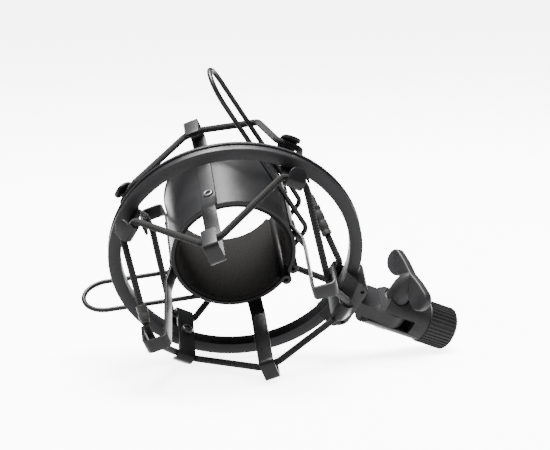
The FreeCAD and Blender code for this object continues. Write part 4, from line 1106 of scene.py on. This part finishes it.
# %% The ribbed collar
COLLAR_START = CLEVIS_END + 0.1
COLLAR_LENGTH = 14.6
COLLAR_RADIUS = 10.05
RIB_HEIGHT = 0.5
RIBS = 36
collar_end = COLLAR_START + COLLAR_LENGTH
core = COLLAR_RADIUS - RIB_HEIGHT
collar = lathe("moulded_collar", [
    (COLLAR_START, 7.15, 0), (COLLAR_START, core - 0.5, 0), (COLLAR_START + 0.5, core, 0),
    (collar_end - 1.1, core, 0), (collar_end - 0.5, core - 0.12, 0),
    (collar_end, core - 0.6, 0), (collar_end, 8.6, 0), (collar_end - 0.3, 8.5, 0),
    (COLLAR_START + 3.5, 8.5, 0), (COLLAR_START + 3.5, 8.05, 0), (COLLAR_START + 1.9, 8.05, 0),
    (COLLAR_START + 1.9, 7.15, 0)], X, steps=144)
rib_half = 0.5 * math.pi * COLLAR_RADIUS / RIBS
rib = outline("rib", [(COLLAR_START + 0.35, -rib_half, core - 0.3),
                      (COLLAR_START + 0.35, -rib_half, core),
                      (COLLAR_START + 0.35, -rib_half * 0.55, COLLAR_RADIUS - 0.12),
                      (COLLAR_START + 0.35, 0, COLLAR_RADIUS),
                      (COLLAR_START + 0.35, rib_half * 0.55, COLLAR_RADIUS - 0.12),
                      (COLLAR_START + 0.35, rib_half, core),
                      (COLLAR_START + 0.35, rib_half, core - 0.3)], fill=True)
push((COLLAR_LENGTH - 1.3, 0, 0))
push((0.5, 0, 0))
bpy.ops.transform.resize(value=(1, 0.7, 1), center_override=(collar_end, 0, core - 0.3))
bpy.ops.transform.translate(value=(0, 0, -0.35))
face_outwards()
copies(rib, [Matrix.Rotation(2 * math.pi * k / RIBS, 4, "X") for k in range(RIBS)])
hold(collar)
rib.select_set(True)
bpy.ops.object.join()
lay(collar, ["ribbed_collar"], "collar", SWIVEL, ribbed, smooth=28)

# %% The threaded insert
PITCH = 25.4 / 27
THREAD_CREST = 7.5
insert_end = collar_end - 0.1
insert_start = insert_end - 11.0
insert = lathe("turned_insert", [
    (insert_start, THREAD_CREST + 0.55, 0), (insert_start, 8.46, 0), (insert_end - 0.25, 8.46, 0),
    (insert_end, 8.3, 0), (insert_end, THREAD_CREST + 0.75, 0),
    (insert_end - 0.2, THREAD_CREST + 0.55, 0)], X, steps=96)
wedge_root = THREAD_CREST + 0.6
thread = outline("thread", [(insert_start + 0.3, wedge_root, 0),
                            (insert_start + 0.3 + PITCH / 2, THREAD_CREST, 0),
                            (insert_start + 0.3 + PITCH * 0.98, wedge_root, 0)])
apply(thread, "SCREW", axis="X", screw_offset=PITCH, iterations=10, steps=60,
      render_steps=60, use_merge_vertices=False)
open_up(thread, "DESELECT")
bpy.ops.mesh.select_mode(type="EDGE")
bpy.ops.mesh.select_non_manifold()
bpy.ops.mesh.edge_face_add()
face_outwards()
hold(insert)
thread.select_set(True)
bpy.ops.object.join()
lay(insert, ["thread_insert"], "collar", SWIVEL, plated_steel, smooth=40)

# %% [markdown]
# ## Steel fittings
# The stud, its washer and its nut are right as they come from the frame, so they stay and only
# take a finish.

# %% Steel fittings
for fitting in ("thumb_screw_stud", "thumb_screw_washer", "hinge_nut"):
    node = frame["nodes"][fitting]
    node.data.materials.clear()
    node.data.materials.append(plated_steel)
print("fittings plated")

# %% [markdown]
# ## Table, light and camera
# The mount lies on a plain white table that glows a little, as a lit acrylic one does. Black things
# on white need more light than the table can take, so there are two soft panels: one lights only
# the mount, and greys the tops of the mouldings, and one lights only the table, and draws the soft
# shadows. The booth's walls are dark, which keeps upright faces black. The camera looks at the
# basket's open front from a little above the table.

# %% Table
let_go()
bpy.ops.mesh.primitive_plane_add(size=80, location=(0, 0, -0.0002))
table = bpy.context.object
table.name = "table"
table_white = new_finish("table_white", ((0.86, 0.86, 0.865), (0.9, 0.9, 0.905)), (0.7, 0.8), 3)
table_shader = table_white.node_tree.nodes["Principled BSDF"]
table_shader.inputs["Emission Color"].default_value = (1, 1, 1, 1)
table_shader.inputs["Emission Strength"].default_value = 5.5
table.data.materials.append(table_white)

# %% Light
world = bpy.data.worlds.new("booth")
bpy.context.scene.world = world
world.use_nodes = True
booth = world.node_tree
sky = booth.nodes["Background"]
sky.inputs["Strength"].default_value = 1.5
direction = booth.nodes.new("ShaderNodeTexCoord")
height = booth.nodes.new("ShaderNodeSeparateXYZ")
walls = booth.nodes.new("ShaderNodeValToRGB")
walls.color_ramp.elements[0].position = 0.15
walls.color_ramp.elements[0].color = (0.1, 0.1, 0.105, 1)
walls.color_ramp.elements[1].position = 0.85
walls.color_ramp.elements[1].color = (1, 1, 1, 1)
booth.links.new(direction.outputs["Generated"], height.inputs["Vector"])
booth.links.new(height.outputs["Z"], walls.inputs["Fac"])
booth.links.new(walls.outputs["Color"], sky.inputs["Color"])


def panel(name, place, target, width, height, power):
    """A softbox that faces a point."""
    data = bpy.data.lights.new(name, "AREA")
    data.shape = "RECTANGLE"
    data.size = width
    data.size_y = height
    data.energy = power
    lamp = bpy.data.objects.new(name, data)
    lamp.location = place
    lamp.rotation_euler = (Vector(target) - Vector(place)).to_track_quat("-Z", "Y").to_euler()
    bpy.context.scene.collection.objects.link(lamp)
    return lamp


mount_panel = panel("mount_panel", (-0.12, 0.1, 0.9), (0, 0, 0.05), 0.6, 0.45, 190)
mount = bpy.data.collections.new("lit_by_mount_panel")
for thing in bpy.context.scene.objects:
    if thing.type == "MESH" and thing is not table:
        mount.objects.link(thing)
mount_panel.light_linking.receiver_collection = mount
table_panel = panel("table_panel", (0.3, 0.1, 1.6), (0, 0, 0), 1.2, 1.2, 190)
table_top = bpy.data.collections.new("lit_by_table_panel")
table_top.objects.link(table)
table_panel.light_linking.receiver_collection = table_top
print("lights:", [light.name for light in bpy.data.lights])

# %% Camera
TOWARDS = Vector((-0.3345, 0.486, 0.810))
RIGHT = Vector((0.8795, 0.4691, 0.0828))
RING_IN_VIEW = Vector((-17.5, -11.9, -752.2))
LENS = 110.9
turn = RING.to_3x3().normalized()
towards = (turn @ TOWARDS).normalized()
right = turn @ RIGHT
right = (right - towards * right.dot(towards)).normalized()
axes = Matrix((right, towards.cross(right), towards)).transposed()
camera_data = bpy.data.cameras.new("camera")
camera_data.lens = LENS
camera_data.sensor_width = 36
camera_data.clip_start = 0.01
camera = bpy.data.objects.new("camera", camera_data)
bpy.context.scene.collection.objects.link(camera)
camera.matrix_world = Matrix.Translation(
    RING.translation - axes @ RING_IN_VIEW * MM) @ axes.to_4x4()
bpy.context.scene.camera = camera
print("camera at", [round(c, 3) for c in camera.location])

# %% [markdown]
# ## Size and finish
# The finished looks must fill the same box as the design; here the view layer is brought up to date.

# %% Sizes
bpy.context.view_layer.update()
